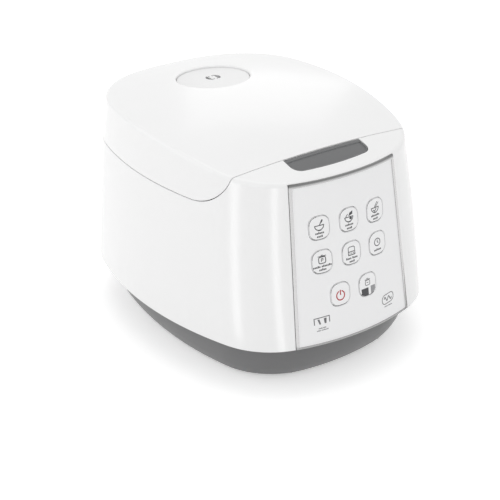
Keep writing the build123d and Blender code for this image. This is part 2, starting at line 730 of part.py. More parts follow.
def base_tray():
    """Grey bowl under the casing with a flange inside the skirt, vent slots, foot holes and board posts."""
    low = SKIRT_Z + FLANGE_RECESS
    high = low + FLANGE_T
    level = plan_face(low, half_width_at(low), front_at(low), back_at(low), WALL + FLANGE_GAP)
    flange = extrude(level, FLANGE_T)
    plan = (SKIRT_Z - LIP_T, half_width_at(SKIRT_Z), front_at(SKIRT_Z), back_at(SKIRT_Z))
    lip = extrude(plan_face(*plan, LIP_INSET), LIP_T) + extrude(level, LIP_T + FLANGE_RECESS, dir=(0, 0, -1))
    lip -= extrude(plan_face(*plan, WALL + FLANGE_GAP + LIP_WALL), LIP_T + FLANGE_RECESS)
    floor_top = BASE_BOTTOM_Z + BASE_WALL
    hollow = base_block(BASE_WALL) - span_box((-FAR, FAR), (-FAR, FAR), (-CUT, floor_top))
    tray = (base_block() + flange + lip) - hollow
    for place in range(VENT_SLOT_COUNT):
        x = (place - (VENT_SLOT_COUNT - 1) / 2) * VENT_SLOT_PITCH
        slot = extrude(Rot(0, 0, 90) * SlotOverall(VENT_SLOT[1], VENT_SLOT[0]), floor_top + CUT)
        for y in VENT_SLOT_Y:
            tray -= Pos(x, y, 0) * slot
    for x in (-FOOT_X, FOOT_X):
        for y in FOOT_Y:
            tray -= column(x, y, FOOT_R / 2, -CUT, floor_top + CUT)
    for x, y in boss_places():
        tray -= mirrored(column(x, y, SCREW_R, low - CUT, high + CUT))
    post_x = POWER_BOARD[0] / 2 - BOARD_POST_INSET
    post_y = POWER_BOARD[1] / 2 - BOARD_POST_INSET
    for x in (-post_x, post_x):
        for y in (POWER_BOARD_Y - post_y, POWER_BOARD_Y + post_y):
            tray += column(x, y, BOARD_POST_R, BASE_BOTTOM_Z + BASE_WALL / 2, POWER_BOARD_Z)
    return tray


def rubber_feet():
    """Four pads, each with a plug through the tray's floor."""
    top = BASE_BOTTOM_Z + BASE_WALL + FOOT_PLUG_H
    feet = []
    for x in (-FOOT_X, FOOT_X):
        for y in FOOT_Y:
            pad = fillet(column(x, y, FOOT_R, 0, BASE_BOTTOM_Z).edges().group_by(Axis.Z)[0], FOOT_ROUND)
            feet.append(pad + column(x, y, FOOT_R / 2, BASE_BOTTOM_Z / 2, top))
    return Compound(children=feet)


def base_screws():
    """Screws up through the tray's flange into the casing's bosses."""
    seat = SKIRT_Z + FLANGE_RECESS
    screws = []
    for x, y in boss_places():
        for side in (-x, x):
            head = column(side, y, SCREW_HEAD_R, seat - SCREW_HEAD_T, seat)
            end = seat + FLANGE_T + BOSS_H - BOSS_FLOOR - SCREW_SPARE
            screws.append(head + column(side, y, SCREW_R, seat - SCREW_HEAD_T / 2, end))
    return Compound(children=screws)


# ---- Well, heater and sensor ----
def collar_ring():
    """Ring in the deck that the pot's rim rests on, with a skirt that guides the pot."""
    inner = POT_R + POT_CLEARANCE
    ring = tube(0, POT_Y, inner, COLLAR_R, SEAM_Z - COLLAR_T, SEAM_Z)
    return ring + tube(0, POT_Y, inner, inner + COLLAR_WALL, SEAM_Z - COLLAR_DEPTH, SEAM_Z - COLLAR_T / 2)


def heat_shield():
    """Pressed steel well round the pot, hung by its rim under the deck."""
    top = SEAM_Z - WALL
    well = tube(0, POT_Y, SHIELD_R, SHIELD_R + SHIELD_T, SHIELD_FLOOR_Z, top)
    rim = tube(0, POT_Y, SHIELD_R, SHIELD_FLANGE_R, top - SHIELD_T, top)
    floor = tube(0, POT_Y, SHIELD_HOLE_R, SHIELD_R + SHIELD_T / 2, SHIELD_FLOOR_Z, SHIELD_FLOOR_Z + SHIELD_T)
    return well + rim + floor


def element_ring():
    """Solid of the heating tube: most of a turn, with its two cold ends pointing down."""
    start = -90 + (360 - ELEMENT_SWEEP) / 2
    section = Plane.XZ * (Pos(ELEMENT_RING_R, PLATE_LOW_Z) * Circle(ELEMENT_R))
    ring = revolve(section, Axis.Z, ELEMENT_SWEEP)
    ends = None
    for angle in (0, ELEMENT_SWEEP):
        x = ELEMENT_RING_R * cos(radians(angle))
        y = ELEMENT_RING_R * sin(radians(angle))
        end = column(x, y, ELEMENT_END[0], PLATE_LOW_Z - ELEMENT_END[1], PLATE_LOW_Z)
        end += column(x, y, ELEMENT_STUD[0], PLATE_LOW_Z - ELEMENT_STUD[1], PLATE_LOW_Z)
        ends = end if ends is None else ends + end
    return Pos(0, POT_Y, 0) * Rot(0, 0, start) * (ring + ends)


def heating_plate():
    """Cast plate that the pot stands on, grooved below for the heating tube."""
    plate = column(0, POT_Y, PLATE_R, PLATE_LOW_Z, PLATE_TOP_Z)
    plate = chamfer(plate.edges().group_by(Axis.Z)[-1], PLATE_EDGE)
    plate -= column(0, POT_Y, SENSOR_R + SLIDE_CLEARANCE, PLATE_LOW_Z - CUT, PLATE_TOP_Z + CUT)
    return plate - element_ring()


def plate_standoffs():
    """Three steel columns from the tray's floor to the heating plate."""
    low = BASE_BOTTOM_Z + BASE_WALL
    posts = []
    for angle in (90, 210, 330):
        x = STANDOFF_RING_R * cos(radians(angle))
        y = POT_Y + STANDOFF_RING_R * sin(radians(angle))
        posts.append(column(x, y, STANDOFF_R, low, PLATE_LOW_Z))
    return Compound(children=posts)


def sensor_cup():
    """Spring-loaded cup that feels the pot's bottom."""
    low = PLATE_TOP_Z - SENSOR_H
    cup = column(0, POT_Y, SENSOR_R, low - SENSOR_FLANGE_T, PLATE_TOP_Z)
    cup += column(0, POT_Y, SENSOR_FLANGE_R, low - SENSOR_FLANGE_T, low)
    return cup - column(0, POT_Y, SENSOR_R - SENSOR_WALL, BRACKET_Z, PLATE_TOP_Z - SENSOR_WALL)


def sensor_bracket():
    """Strap under the heating plate that carries the sensor's spring."""
    half, half_y = BRACKET_HALF
    along = (POT_Y - half_y, POT_Y + half_y)
    inner, outer = GUIDE_R
    strap = span_box((-half, half), along, (BRACKET_Z, BRACKET_Z + BRACKET_T))
    leg = span_box((half - BRACKET_T, half), along, (BRACKET_Z, PLATE_LOW_Z))
    foot = span_box((half - BRACKET_T, half + BRACKET_FOOT), along, (PLATE_LOW_Z - BRACKET_T, PLATE_LOW_Z))
    guide = column(0, POT_Y, outer, BRACKET_Z, BRACKET_Z + GUIDE_H)
    hole = column(0, POT_Y, inner, BRACKET_Z - CUT, BRACKET_Z + GUIDE_H + CUT)
    return strap + mirrored(leg + foot) + guide - hole


def sensor_spring():
    """Coil spring between the bracket and the sensor cup's flange."""
    low = BRACKET_Z + BRACKET_T
    high = PLATE_TOP_Z - SENSOR_H - SENSOR_FLANGE_T
    radius = (SENSOR_R - SENSOR_WALL + SENSOR_FLANGE_R) / 2
    return Pos(0, POT_Y, low) * coil(radius, SENSOR_WIRE_R, high - low, SENSOR_TURNS)


def thermal_fuse():
    """Safety fuse in a clamp under the heating plate."""
    body = Pos(FUSE_X, POT_Y, PLATE_LOW_Z - FUSE_R) * Rot(90, 0, 0) * Cylinder(FUSE_R, FUSE_L)
    clamp = Pos(FUSE_X, POT_Y, PLATE_LOW_Z - FUSE_R / 2) * Box(FUSE_CLAMP, FUSE_CLAMP, FUSE_R)
    return body + clamp


def inner_pot():
    """Drawn aluminium pot with a rounded bottom and a flat rim."""
    low = PLATE_TOP_Z
    high = SEAM_Z + POT_LIP_T
    inner = POT_R - POT_WALL
    rim = [(POT_R, SEAM_Z), (POT_LIP_R, SEAM_Z), (POT_LIP_R, high)]
    outside = Polyline((0, low), (POT_R, low), *rim, (0, high), close=True)
    inside = Polyline(
        (0, low + POT_WALL), (inner, low + POT_WALL), (inner, high + CUT), (0, high + CUT), close=True
    )
    outer_face = make_face(Plane.XZ * outside)
    outer_face = fillet(outer_face.vertices().sort_by_distance((POT_R, 0, low))[0], POT_BOTTOM_ROUND)
    inner_face = make_face(Plane.XZ * inside)
    inner_face = fillet(
        inner_face.vertices().sort_by_distance((inner, 0, low + POT_WALL))[0], POT_BOTTOM_ROUND - POT_WALL
    )
    return Pos(0, POT_Y, 0) * revolve(outer_face - inner_face, Axis.Z)


# ---- Panel ----
def panel_frame():
    """Silver trim round the panel, standing just proud of the casing."""
    opening = panel_prism(PANEL_FRAME_W, PANEL_FRAME_TOP_W, PANEL_FRAME_BOTTOM_W)
    ring = panel_prism(PANEL_FRAME_GAP, PANEL_FRAME_GAP) - opening
    return ring & (form_block(-PANEL_FRAME_PROUD) - PANEL_FLOOR)


def panel_overlay():
    """Pale sheet inside the trim with an opening for each key."""
    sheet = panel_prism(PANEL_FRAME_W, PANEL_FRAME_TOP_W, PANEL_FRAME_BOTTOM_W) & (PANEL_FACE - PANEL_FLOOR)
    for place in key_places().values():
        sheet -= key_prism(place, KEY_GAP)
    return sheet


def control_key(place):
    """Key cap that follows the panel's curve and stands just proud of it."""
    return key_prism(place) & form_block(OVERLAY_SINK - KEY_PROUD)


def control_board():
    """Board parallel to the panel, on the casing's bosses."""
    face = panel_plane(0, BOARD_Z, BOARD_DEPTH + BOARD_T)
    return extrude(face * RectangleRounded(BOARD_W, BOARD_H, BOARD_ROUND), BOARD_T)


def tact_switches():
    """One switch behind each key, its plunger just clear of the key's back."""
    switches = []
    plunger = BOARD_DEPTH - KEY_BACK - KEY_TRAVEL - KEY_GAP
    for place in key_places().values():
        face = panel_plane(*place, BOARD_DEPTH)
        body = extrude(face * Rectangle(SWITCH_W, SWITCH_W), SWITCH_H)
        switches.append(body + extrude(face * Circle(PLUNGER_R), plunger))
    return Compound(children=switches)


def indicator_leds():
    """A light beside each switch."""
    lights = []
    for x, z in key_places().values():
        lights.append(extrude(panel_plane(x + LED_OFFSET, z, BOARD_DEPTH) * Circle(LED_R), LED_H))
    return Compound(children=lights)


# ---- Button and latch ----
def open_button():
    """Grey button in the front deck, dished on top, with a stem onto the latch's arm."""
    under_dish = BUTTON_SINK + BUTTON_DISH
    under_skin = under_dish + BUTTON_SKIN
    cap = (button_prism() & dome_block(BUTTON_SINK)) - dome_block(BUTTON_SINK + BUTTON_DEPTH)
    inside = extrude(Pos(0, 0, BUTTON_FLOOR_Z) * button_face(-BUTTON_SKIN), FORM_TOP_Z - BUTTON_FLOOR_Z)
    cap -= inside & dome_block(under_skin)
    dish = extrude(Pos(0, 0, BUTTON_FLOOR_Z) * button_face(-BUTTON_RIM), FORM_TOP_Z - BUTTON_FLOOR_Z)
    dish -= span_box((-FAR, FAR), (SEAM_FRONT_Y - BUTTON_BACK_RIM, FAR), (-FAR, FAR))
    cap -= dish - dome_block(under_dish)
    arm_end = LATCH_Y - LATCH_ARM
    stem = span_box(
        (-STEM_HALF, STEM_HALF), (arm_end + STEM_Y[0], arm_end + STEM_Y[1]), (LATCH_Z + STEM_LOW, FORM_TOP_Z)
    )
    return cap + (stem & dome_block(under_skin - BUTTON_SKIN / 4))


def latch_hook():
    """Lever on the latch pin: an arm under the button's stem and a nose behind the parting line."""
    reach, nose_low, nose_high = LATCH_NOSE
    arm_low, arm_high = LATCH_ARM_Z
    tip = -LATCH_ARM - LATCH_TIP
    hub = LATCH_HUB_R
    outline = [
        (tip, arm_high),
        (tip, arm_low),
        (-2 * hub, arm_low),
        (-hub, -hub),
        (hub, -hub),
        (LATCH_STEM_T, nose_low),
        (reach, nose_low),
        (reach, nose_high),
        (hub / 2, nose_high + hub / 2),
        (-hub / 2, nose_high - hub / 2),
        (-hub / 2, arm_high),
    ]
    face = make_face(Plane.YZ * Polyline(*[(LATCH_Y + y, LATCH_Z + z) for y, z in outline], close=True))
    hook = extrude(face, LATCH_HALF, both=True)
    return hook - cross_rod(LATCH_Y, LATCH_Z, LATCH_PIN_R + RUN_CLEARANCE, LATCH_HALF + CUT)


def latch_pin():
    """Pin held in the casing's two ribs."""
    return cross_rod(LATCH_Y, LATCH_Z, LATCH_PIN_R, LATCH_HALF + LATCH_RIB_GAP + LATCH_RIB_T)


def latch_spring():
    """Coil spring under the latch's arm."""
    height = LATCH_FLOOR + LATCH_ARM_Z[0]
    foot = Pos(0, LATCH_Y - LATCH_ARM + CUT, LATCH_Z - LATCH_FLOOR)
    return foot * coil(LATCH_SPRING_R, LATCH_WIRE_R, height, LATCH_TURNS)


# ---- Hinge ----
def hinge_bracket():
    """Plate under the back of the deck with two lugs that carry the hinge pin."""
    top = SEAM_Z - WALL
    low = top - HINGE_PLATE_T
    wide = HINGE_WINDOW_HALF + HINGE_PLATE_SIDE
    back = HINGE_Y + HINGE_R / 2
    plate = span_box((-wide, wide), (POT_Y + SHIELD_FLANGE_R + FIT_GAP, back), (low, top))
    plate -= cross_rod(HINGE_Y, HINGE_Z, (HINGE_R + HINGE_SWEEP_R) / 2, HINGE_LUG_IN)
    plate -= span_box((-DRIP_HALF, DRIP_HALF), DRIP_Y, (low - CUT, top + CUT))
    lug_width = HINGE_LUG_OUT - HINGE_LUG_IN
    lug_middle = (HINGE_LUG_OUT + HINGE_LUG_IN) / 2
    lug = Pos(lug_middle, HINGE_Y, HINGE_Z) * Rot(0, 90, 0) * Cylinder(HINGE_R, lug_width)
    web = span_box((HINGE_LUG_IN, HINGE_LUG_OUT), (HINGE_Y - HINGE_R, back), (HINGE_WINDOW_Z, HINGE_Z))
    lugs = mirrored(lug + web)
    bracket = (plate & form_block(WALL + FIT_GAP)) + lugs
    return bracket - cross_rod(HINGE_Y, HINGE_Z, HINGE_PIN_R, HINGE_LUG_OUT + CUT)


def hinge_pin():
    """Steel pin through both lugs and the lid's barrel."""
    return cross_rod(HINGE_Y, HINGE_Z, HINGE_PIN_R, HINGE_LUG_OUT)


def hinge_springs():
    """Two coils round the pin between the barrel and the lugs."""
    round_pin, at_end = HINGE_SPRING_PLAY
    room = HINGE_LUG_IN - HINGE_BARREL_HALF - 2 * at_end
    spring = coil(HINGE_PIN_R + HINGE_WIRE_R + round_pin, HINGE_WIRE_R, room, HINGE_TURNS)
    right = Pos(HINGE_BARREL_HALF + at_end, HINGE_Y, HINGE_Z) * Rot(0, 90, 0) * spring
    return Compound(children=[right, mirror(right, about=Plane.YZ)])


def hinge_sweep(half):
    """Room that the lid leaves for the fixed lugs at every angle."""
    room = cross_rod(HINGE_Y, HINGE_Z, HINGE_SWEEP_R, half)
    return room + span_box((-half, half), (HINGE_Y - HINGE_SWEEP_R, FAR), (SEAM_Z - HINGE_SWEEP_R, HINGE_Z))


# ---- Lid ----
def lid_posts():
    """Places (x, y) of the lid's four screw posts."""
    return [(side * x, y) for x, y in (POST_FRONT, POST_BACK) for side in (-1, 1)]


def vent_well():
    """Thickened ring under the lid's skin that the vent's recess is sunk into."""
    depth = VENT_SINK + VENT_CAP_T
    return column(0, VENT_Y, VENT_R + WALL, SEAM_Z, FORM_TOP_Z) & (DOME - dome_block(depth + WALL))


def rim_edges(shape, radius, depth):
    """Edges of a shape that run round the vent's middle at a radius, less than a depth below the dome."""
    deeper = dome_block(depth)
    found = []
    for edge in shape.edges():
        points = [edge @ share for share in (0.1, 0.5, 0.9)]
        reaches = [sqrt(point.X ** 2 + (point.Y - VENT_Y) ** 2) for point in points]
        if all(abs(reach - radius) < CUT / 50 for reach in reaches) and not deeper.is_inside(points[1]):
            found.append(edge)
    return found


def lid_cover():
    """White outer lid: domed skin, front wall, screw posts and the vent's recess."""
    block = BODY & above_seam(SEAM_GAP)
    hollow = FORM_IN & DOME_IN & above_seam(SEAM_GAP + WALL)
    cover = (block - hollow) + vent_well()
    for x, y in lid_posts():
        cover += column(x, y, POST_R, LINER_Z + LINER_T, FORM_TOP_Z) & dome_block(WALL / 2)
    bottom = FORM_IN & span_box((-FAR, FAR), (SEAM_BEND_Y, FAR), (SEAM_Z, LINER_Z + LINER_T))
    cover -= bottom
    cover -= column(0, POT_Y, LID_WELL_R + LINER_T + LINER_GAP, SEAM_Z, LID_WELL_Z + LINER_T + CUT)
    cover -= column(0, VENT_Y, VENT_R, VENT_CUP_Z, FORM_TOP_Z) - dome_block(VENT_SINK + VENT_CAP_T)
    cover -= column(0, VENT_Y, VENT_R - VENT_LEDGE, VENT_CUP_Z, FORM_TOP_Z)
    cover = fillet(rim_edges(cover, VENT_R, VENT_SINK / 2), VENT_MOUTH_ROUND)
    half = HINGE_WINDOW_HALF
    cover -= hinge_sweep(half)
    cover -= span_box((-half, half), (HINGE_Y - HINGE_SWEEP_R, FAR), (SEAM_Z, HINGE_Z + HINGE_SWEEP_R))
    for x, y in lid_posts():
        cover -= column(x, y, SCREW_R, SEAM_Z, SEAM_Z + POST_DEPTH)
    window_low = LATCH_Z + LATCH_NOSE[1] - CATCH_DROP
    window = span_box(
        (-CATCH_HALF, CATCH_HALF),
        (SEAM_FRONT_Y, SEAM_FRONT_Y + CATCH_DEPTH),
        (window_low, window_low + CATCH_WINDOW_H),
    )
    return cover - window


def lid_liner():
    """Lower lid plate with the round recess for the inner lid and the hinge barrel."""
    low = LINER_Z
    top = LID_WELL_Z + LINER_T
    edge_front = SEAM_BEND_Y + LINER_GAP
    sheet = form_block(WALL + LINER_GAP) & span_box((-FAR, FAR), (edge_front, FAR), (low, low + LINER_T))
    liner = sheet + column(0, POT_Y, LID_WELL_R + LINER_T, low, top)
    liner -= column(0, POT_Y, LID_WELL_R, low - CUT, LID_WELL_Z)
    liner &= above_seam(SEAM_GAP)
    liner -= hinge_sweep(HINGE_WINDOW_HALF)
    arm = span_box(
        (-HINGE_BARREL_HALF, HINGE_BARREL_HALF),
        (HINGE_Y - 2 * HINGE_SWEEP_R, HINGE_Y),
        (low + HINGE_PIN_R / 5, HINGE_Z + HINGE_R * 3 / 4),
    )
    liner += arm + cross_rod(HINGE_Y, HINGE_Z, HINGE_R, HINGE_BARREL_HALF)
    liner -= cross_rod(HINGE_Y, HINGE_Z, HINGE_PIN_R + RUN_CLEARANCE, HINGE_BARREL_HALF + CUT)
    post_low = INNER_LID_Z - GROMMET_H - GROMMET_POST_END
    liner += column(0, POT_Y, GROMMET_POST_R, post_low, LID_WELL_Z + LINER_T / 2)
    liner -= column(0, VENT_Y, VENT_NOZZLE_R + VENT_DUCT_GAP, low, top + CUT)
    for x, y in lid_posts():
        liner -= column(x, y, SCREW_R, low - CUT, top + CUT)
        liner -= column(x, y, SCREW_HEAD_R, low - CUT, low + SCREW_HEAD_SINK)
    return liner


def lid_screws():
    """Screws up through the liner into the cover's posts."""
    top = SEAM_Z + POST_DEPTH - POST_SPARE
    screws = []
    for x, y in lid_posts():
        head = column(x, y, SCREW_HEAD_R, LINER_Z, LINER_Z + SCREW_HEAD_SINK)
        screws.append(head + column(x, y, SCREW_R, LINER_Z, top))
    return Compound(children=screws)


def inner_lid_plate():
    """Removable aluminium inner lid with steam holes."""
    plate = column(0, POT_Y, INNER_LID_R, INNER_LID_Z, INNER_LID_Z + INNER_LID_T)
    plate -= column(0, POT_Y, GROMMET_POST_R, INNER_LID_Z - CUT, LID_WELL_Z)
    for place in range(STEAM_HOLE_COUNT):
        angle = 2 * pi * place / STEAM_HOLE_COUNT
        x = STEAM_HOLE_RING_R * cos(angle)
        y = VENT_Y + STEAM_HOLE_RING_R * sin(angle)
        plate -= column(x, y, STEAM_HOLE_R, INNER_LID_Z - CUT, LID_WELL_Z)
    return plate


def inner_lid_gasket():
    """Soft ring round the inner lid that closes on the pot's rim."""
    low = SEAM_Z + POT_LIP_T + GASKET_LIFT
    ring = tube(0, POT_Y, GASKET_R - GASKET_W, GASKET_R, low, LID_WELL_Z)
    return ring - column(0, POT_Y, INNER_LID_R, INNER_LID_Z, INNER_LID_Z + INNER_LID_T)


def inner_lid_grommet():
    """Rubber knob that holds the inner lid on the liner's post."""
    knob = column(0, POT_Y, GROMMET_R, INNER_LID_Z - GROMMET_H, INNER_LID_Z)
    knob = fillet(knob.edges().group_by(Axis.Z)[0], GROMMET_H / 3)
    return knob - column(0, POT_Y, GROMMET_POST_R, INNER_LID_Z - GROMMET_H - CUT, INNER_LID_Z + CUT)


def lid_catch():
    """Steel plate behind the window in the lid's front wall, with the ledge that the nose holds."""
    y = SEAM_FRONT_Y + CATCH_DEPTH
    window_low = LATCH_Z + LATCH_NOSE[1] - CATCH_DROP
    wide = CATCH_HALF + 2 * CATCH_T
    narrow = CATCH_HALF - CUT
    back = span_box((-wide, wide), (y, y + CATCH_T), (LATCH_Z, window_low + CATCH_WINDOW_H + CATCH_T))
    ledge = span_box((-narrow, narrow), (SEAM_FRONT_Y, y), (window_low, window_low + CATCH_T))
    return (back & above_seam(SEAM_GAP + WALL)) + (ledge & above_seam(SEAM_GAP + CATCH_T / 3))


# ---- Steam vent ----
def vent_cap():
    """Round lid of the steam vent with two curved outlet slots round its middle."""
    depth = VENT_SINK + VENT_CAP_T
    skin = dome_block(VENT_SINK) - dome_block(depth)
    cap = column(0, VENT_Y, VENT_R - VENT_CAP_GAP, SEAM_Z, FORM_TOP_Z) & skin
    cap = fillet(rim_edges(cap, VENT_R - VENT_CAP_GAP, VENT_SINK + VENT_CAP_T / 2), VENT_CAP_ROUND)
    slots = tube(0, VENT_Y, *VENT_OUTLET_R, SEAM_Z, FORM_TOP_Z)
    slots -= span_box(
        (-VENT_BRIDGE_HALF, VENT_BRIDGE_HALF), (VENT_Y - VENT_R, VENT_Y + VENT_R), (SEAM_Z, FORM_TOP_Z)
    )
    return cap - slots


def vent_cup():
    """Cup under the vent cap that catches foam, with a nozzle below."""
    depth = VENT_SINK + VENT_CAP_T
    wall = tube(0, VENT_Y, VENT_CUP_R - VENT_CUP_WALL, VENT_CUP_R, VENT_CUP_Z, FORM_TOP_Z) & dome_block(depth)
    floor = column(0, VENT_Y, VENT_CUP_R, VENT_CUP_Z, VENT_CUP_Z + VENT_CUP_WALL)
    nozzle = column(0, VENT_Y, VENT_NOZZLE_R, LID_WELL_Z + VENT_NOZZLE_END, VENT_CUP_Z + VENT_CUP_WALL / 2)
    bore = column(0, VENT_Y, VENT_NOZZLE_R - VENT_CUP_WALL, SEAM_Z, VENT_CUP_Z + VENT_CUP_WALL + CUT)
    return wall + floor + nozzle - bore


def vent_seal():
    """Soft ring round the vent's nozzle."""
    low = LID_WELL_Z + LINER_T + VENT_DUCT_WALL + VENT_SEAL_GAP
    width, height = VENT_SEAL
    return tube(0, VENT_Y, VENT_NOZZLE_R, VENT_NOZZLE_R + width, low, low + height)


def steam_duct():
    """Fixed well inside the lid that the vent's cup drops into."""
    low = LID_WELL_Z + LINER_T
    inner = VENT_CUP_R + VENT_DUCT_GAP
    duct = tube(0, VENT_Y, inner, inner + VENT_DUCT_WALL, low, VENT_DUCT_TOP_Z)
    floor = tube(
        0, VENT_Y, VENT_NOZZLE_R + VENT_DUCT_GAP, inner + VENT_DUCT_WALL / 2, low, low + VENT_DUCT_WALL
    )
    return duct + floor


# ---- Collector ----
def condensation_collector():
    """Cup behind the casing that catches the water running off the open lid."""
    half = COLLECTOR_HALF
    block = span_box((-half, half), (COLLECTOR_FRONT_Y, COLLECTOR_BACK_Y), (COLLECTOR_Z, COLLECTOR_TOP_Z))
    cup = fillet(block.edges().filter_by(Axis.Z).group_by(Axis.Y)[-1], COLLECTOR_ROUND)
    inside = span_box(
        (-half + COLLECTOR_WALL, half - COLLECTOR_WALL),
        (COLLECTOR_FRONT_Y + COLLECTOR_WALL, COLLECTOR_BACK_Y - COLLECTOR_WALL),
        (COLLECTOR_Z + COLLECTOR_WALL, COLLECTOR_TOP_Z + CUT),
    )
    inside = fillet(inside.edges().filter_by(Axis.Z).group_by(Axis.Y)[-1], COLLECTOR_ROUND - COLLECTOR_WALL)
    return cup - inside


# ---- Power inlet ----
def inlet_block(half_x, half_z, corner, front, back):
    """Block through the back wall in a rounded outline, between two depths."""
    outline = Plane(origin=(0, front, INLET_Z), x_dir=(1, 0, 0), z_dir=(0, 1, 0)) * RectangleRounded(
        2 * half_x, 2 * half_z, corner
    )
    return extrude(outline, back - front)


def power_inlet():
    """Moulded appliance inlet in the back wall, with a flange outside."""
    half_x, half_z = INLET_HALF
    back = back_at(INLET_Z)
    body = span_box(
        (-half_x, half_x), (back - INLET_DEPTH, back + FLANGE_GAP), (INLET_Z - half_z, INLET_Z + half_z)
    )
    flange = inlet_block(*INLET_FLANGE, INLET_FLANGE_ROUND, back - INLET_DEPTH, back + INLET_DEPTH)
    flange = (flange & form_block(-INLET_FLANGE_T)) - FORM
    socket = inlet_block(*SOCKET_HALF, SOCKET_ROUND, back - SOCKET_DEPTH, back + INLET_DEPTH)
    return body + flange - socket


def inlet_pins():
    """Three flat contacts standing in the socket."""
    size_x, size_y, size_z = PIN_SIZE
    floor_y = back_at(INLET_Z) - SOCKET_DEPTH
    pins = []
    for x, rise in PIN_PLACES:
        z = INLET_Z + rise
        pin = span_box(
            (x - size_x / 2, x + size_x / 2), (floor_y, floor_y + size_y), (z - size_z / 2, z + size_z / 2)
        )
        pins.append(pin)
    return Compound(children=pins)


# ---- Electronics in the base ----
def power_board():
    """Board on the tray's posts in the front bay."""
    return Pos(0, POWER_BOARD_Y, POWER_BOARD_Z + BOARD_T / 2) * Box(*POWER_BOARD, BOARD_T)


def on_power_board(along, half, height):
    """Block that stands on the power board, over its middle line."""
    return span_box(
        along, (POWER_BOARD_Y - half, POWER_BOARD_Y + half), (POWER_BOARD_TOP_Z, POWER_BOARD_TOP_Z + height)
    )


def relay():
    """Heater relay on the power board."""
    return on_power_board(RELAY_X, RELAY_HALF, RELAY_H)


def transformer():
    """Small mains transformer on the power board: its core and its winding."""
    return on_power_board(CORE_X, CORE_HALF, CORE_H) + on_power_board(WINDING_X, WINDING_HALF, WINDING_H)


def capacitors():
    """Two smoothing capacitors on the power board."""
    low = POWER_BOARD_TOP_Z
    y = POWER_BOARD_Y + CAPACITOR_OFFSET
    return Compound(children=[column(x, y, CAPACITOR_R, low, low + CAPACITOR_H) for x in CAPACITOR_X])


PARTS = {
    "outer_casing": outer_casing,
    "base_tray": base_tray,
    "rubber_feet": rubber_feet,
    "base_screws": base_screws,
    "collar_ring": collar_ring,
    "heat_shield": heat_shield,
    "heating_plate": heating_plate,
    "heater_element": element_ring,
    "plate_standoffs": plate_standoffs,
    "sensor_bracket": sensor_bracket,
    "sensor_cup": sensor_cup,
    "sensor_spring": sensor_spring,
    "thermal_fuse": thermal_fuse,
    "inner_pot": inner_pot,
    "panel_frame": panel_frame,
    "panel_overlay": panel_overlay,
    "control_board": control_board,
    "tact_switches": tact_switches,
    "indicator_leds": indicator_leds,
    "open_button": open_button,
    "latch_hook": latch_hook,
    "latch_pin": latch_pin,
    "latch_spring": latch_spring,
    "hinge_bracket": hinge_bracket,
    "hinge_pin": hinge_pin,
    "hinge_springs": hinge_springs,
    "lid_cover": lid_cover,
    "lid_liner": lid_liner,
    "lid_screws": lid_screws,
    "lid_catch": lid_catch,
    "inner_lid_plate": inner_lid_plate,
    "inner_lid_gasket": inner_lid_gasket,
    "inner_lid_grommet": inner_lid_grommet,
    "steam_duct": steam_duct,
    "vent_cap": vent_cap,
    "vent_cup": vent_cup,
    "vent_seal": vent_seal,
    "condensation_collector": condensation_collector,
    "power_inlet": power_inlet,
    "inlet_pins": inlet_pins,
    "power_board": power_board,
    "relay": relay,
    "transformer": transformer,
    "capacitors": capacitors,
}

for name, make in PARTS.items():
    export_step(make(), f"parts/{name}.step")
for name, place in key_places().items():
    export_step(control_key(place), f"parts/{name}.step")
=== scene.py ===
"""Looks of an electric rice cooker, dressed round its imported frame.

The frame gives every piece its place and size. This script gives each moulding, pressing and casting its
finish, lays the panel's, the vent's and the pot's printed marks on their surfaces, winds the two springs that
shorten, and sets up the floor, the lamps and the camera. Lengths are metres, but drawings with their
measures, and names that end in mm, are in millimetres.
"""

from __future__ import annotations

import json
import logging
import math
from dataclasses import dataclass, field, replace
from enum import Enum
from typing import ClassVar

import bmesh
import bpy
from mathutils import Matrix, Vector
from mathutils.bvhtree import BVHTree

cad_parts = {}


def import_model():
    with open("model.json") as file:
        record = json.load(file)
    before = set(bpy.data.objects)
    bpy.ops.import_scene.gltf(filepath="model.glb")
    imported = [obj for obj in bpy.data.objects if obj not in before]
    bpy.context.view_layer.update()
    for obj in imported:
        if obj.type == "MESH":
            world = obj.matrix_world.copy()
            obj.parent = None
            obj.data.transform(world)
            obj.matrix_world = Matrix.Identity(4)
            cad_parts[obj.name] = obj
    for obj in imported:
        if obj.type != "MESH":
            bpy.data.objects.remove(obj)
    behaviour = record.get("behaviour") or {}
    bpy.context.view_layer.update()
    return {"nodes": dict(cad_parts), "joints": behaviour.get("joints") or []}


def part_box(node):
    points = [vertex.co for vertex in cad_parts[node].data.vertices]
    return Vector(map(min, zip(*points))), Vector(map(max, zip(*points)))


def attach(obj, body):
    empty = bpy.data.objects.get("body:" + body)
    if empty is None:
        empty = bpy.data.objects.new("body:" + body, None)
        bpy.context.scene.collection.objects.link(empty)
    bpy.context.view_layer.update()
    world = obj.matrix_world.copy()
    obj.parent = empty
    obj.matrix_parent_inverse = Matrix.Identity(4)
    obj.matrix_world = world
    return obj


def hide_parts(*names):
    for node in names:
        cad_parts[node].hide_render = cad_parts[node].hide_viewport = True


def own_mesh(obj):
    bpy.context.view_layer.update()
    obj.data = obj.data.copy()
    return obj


LOG = logging.getLogger("rice_cooker")
MM = 0.001
RIGHT = Vector((1, 0, 0))
BACK = Vector((0, 1, 0))
UP = Vector((0, 0, 1))

Colour = tuple[float, float, float]
Point2 = tuple[float, float]
Face2 = list[Point2]
Node = bpy.types.Node
Socket = bpy.types.NodeSocket
SocketPair = tuple[Socket, Socket]
Value = Socket | float | tuple[float, ...]


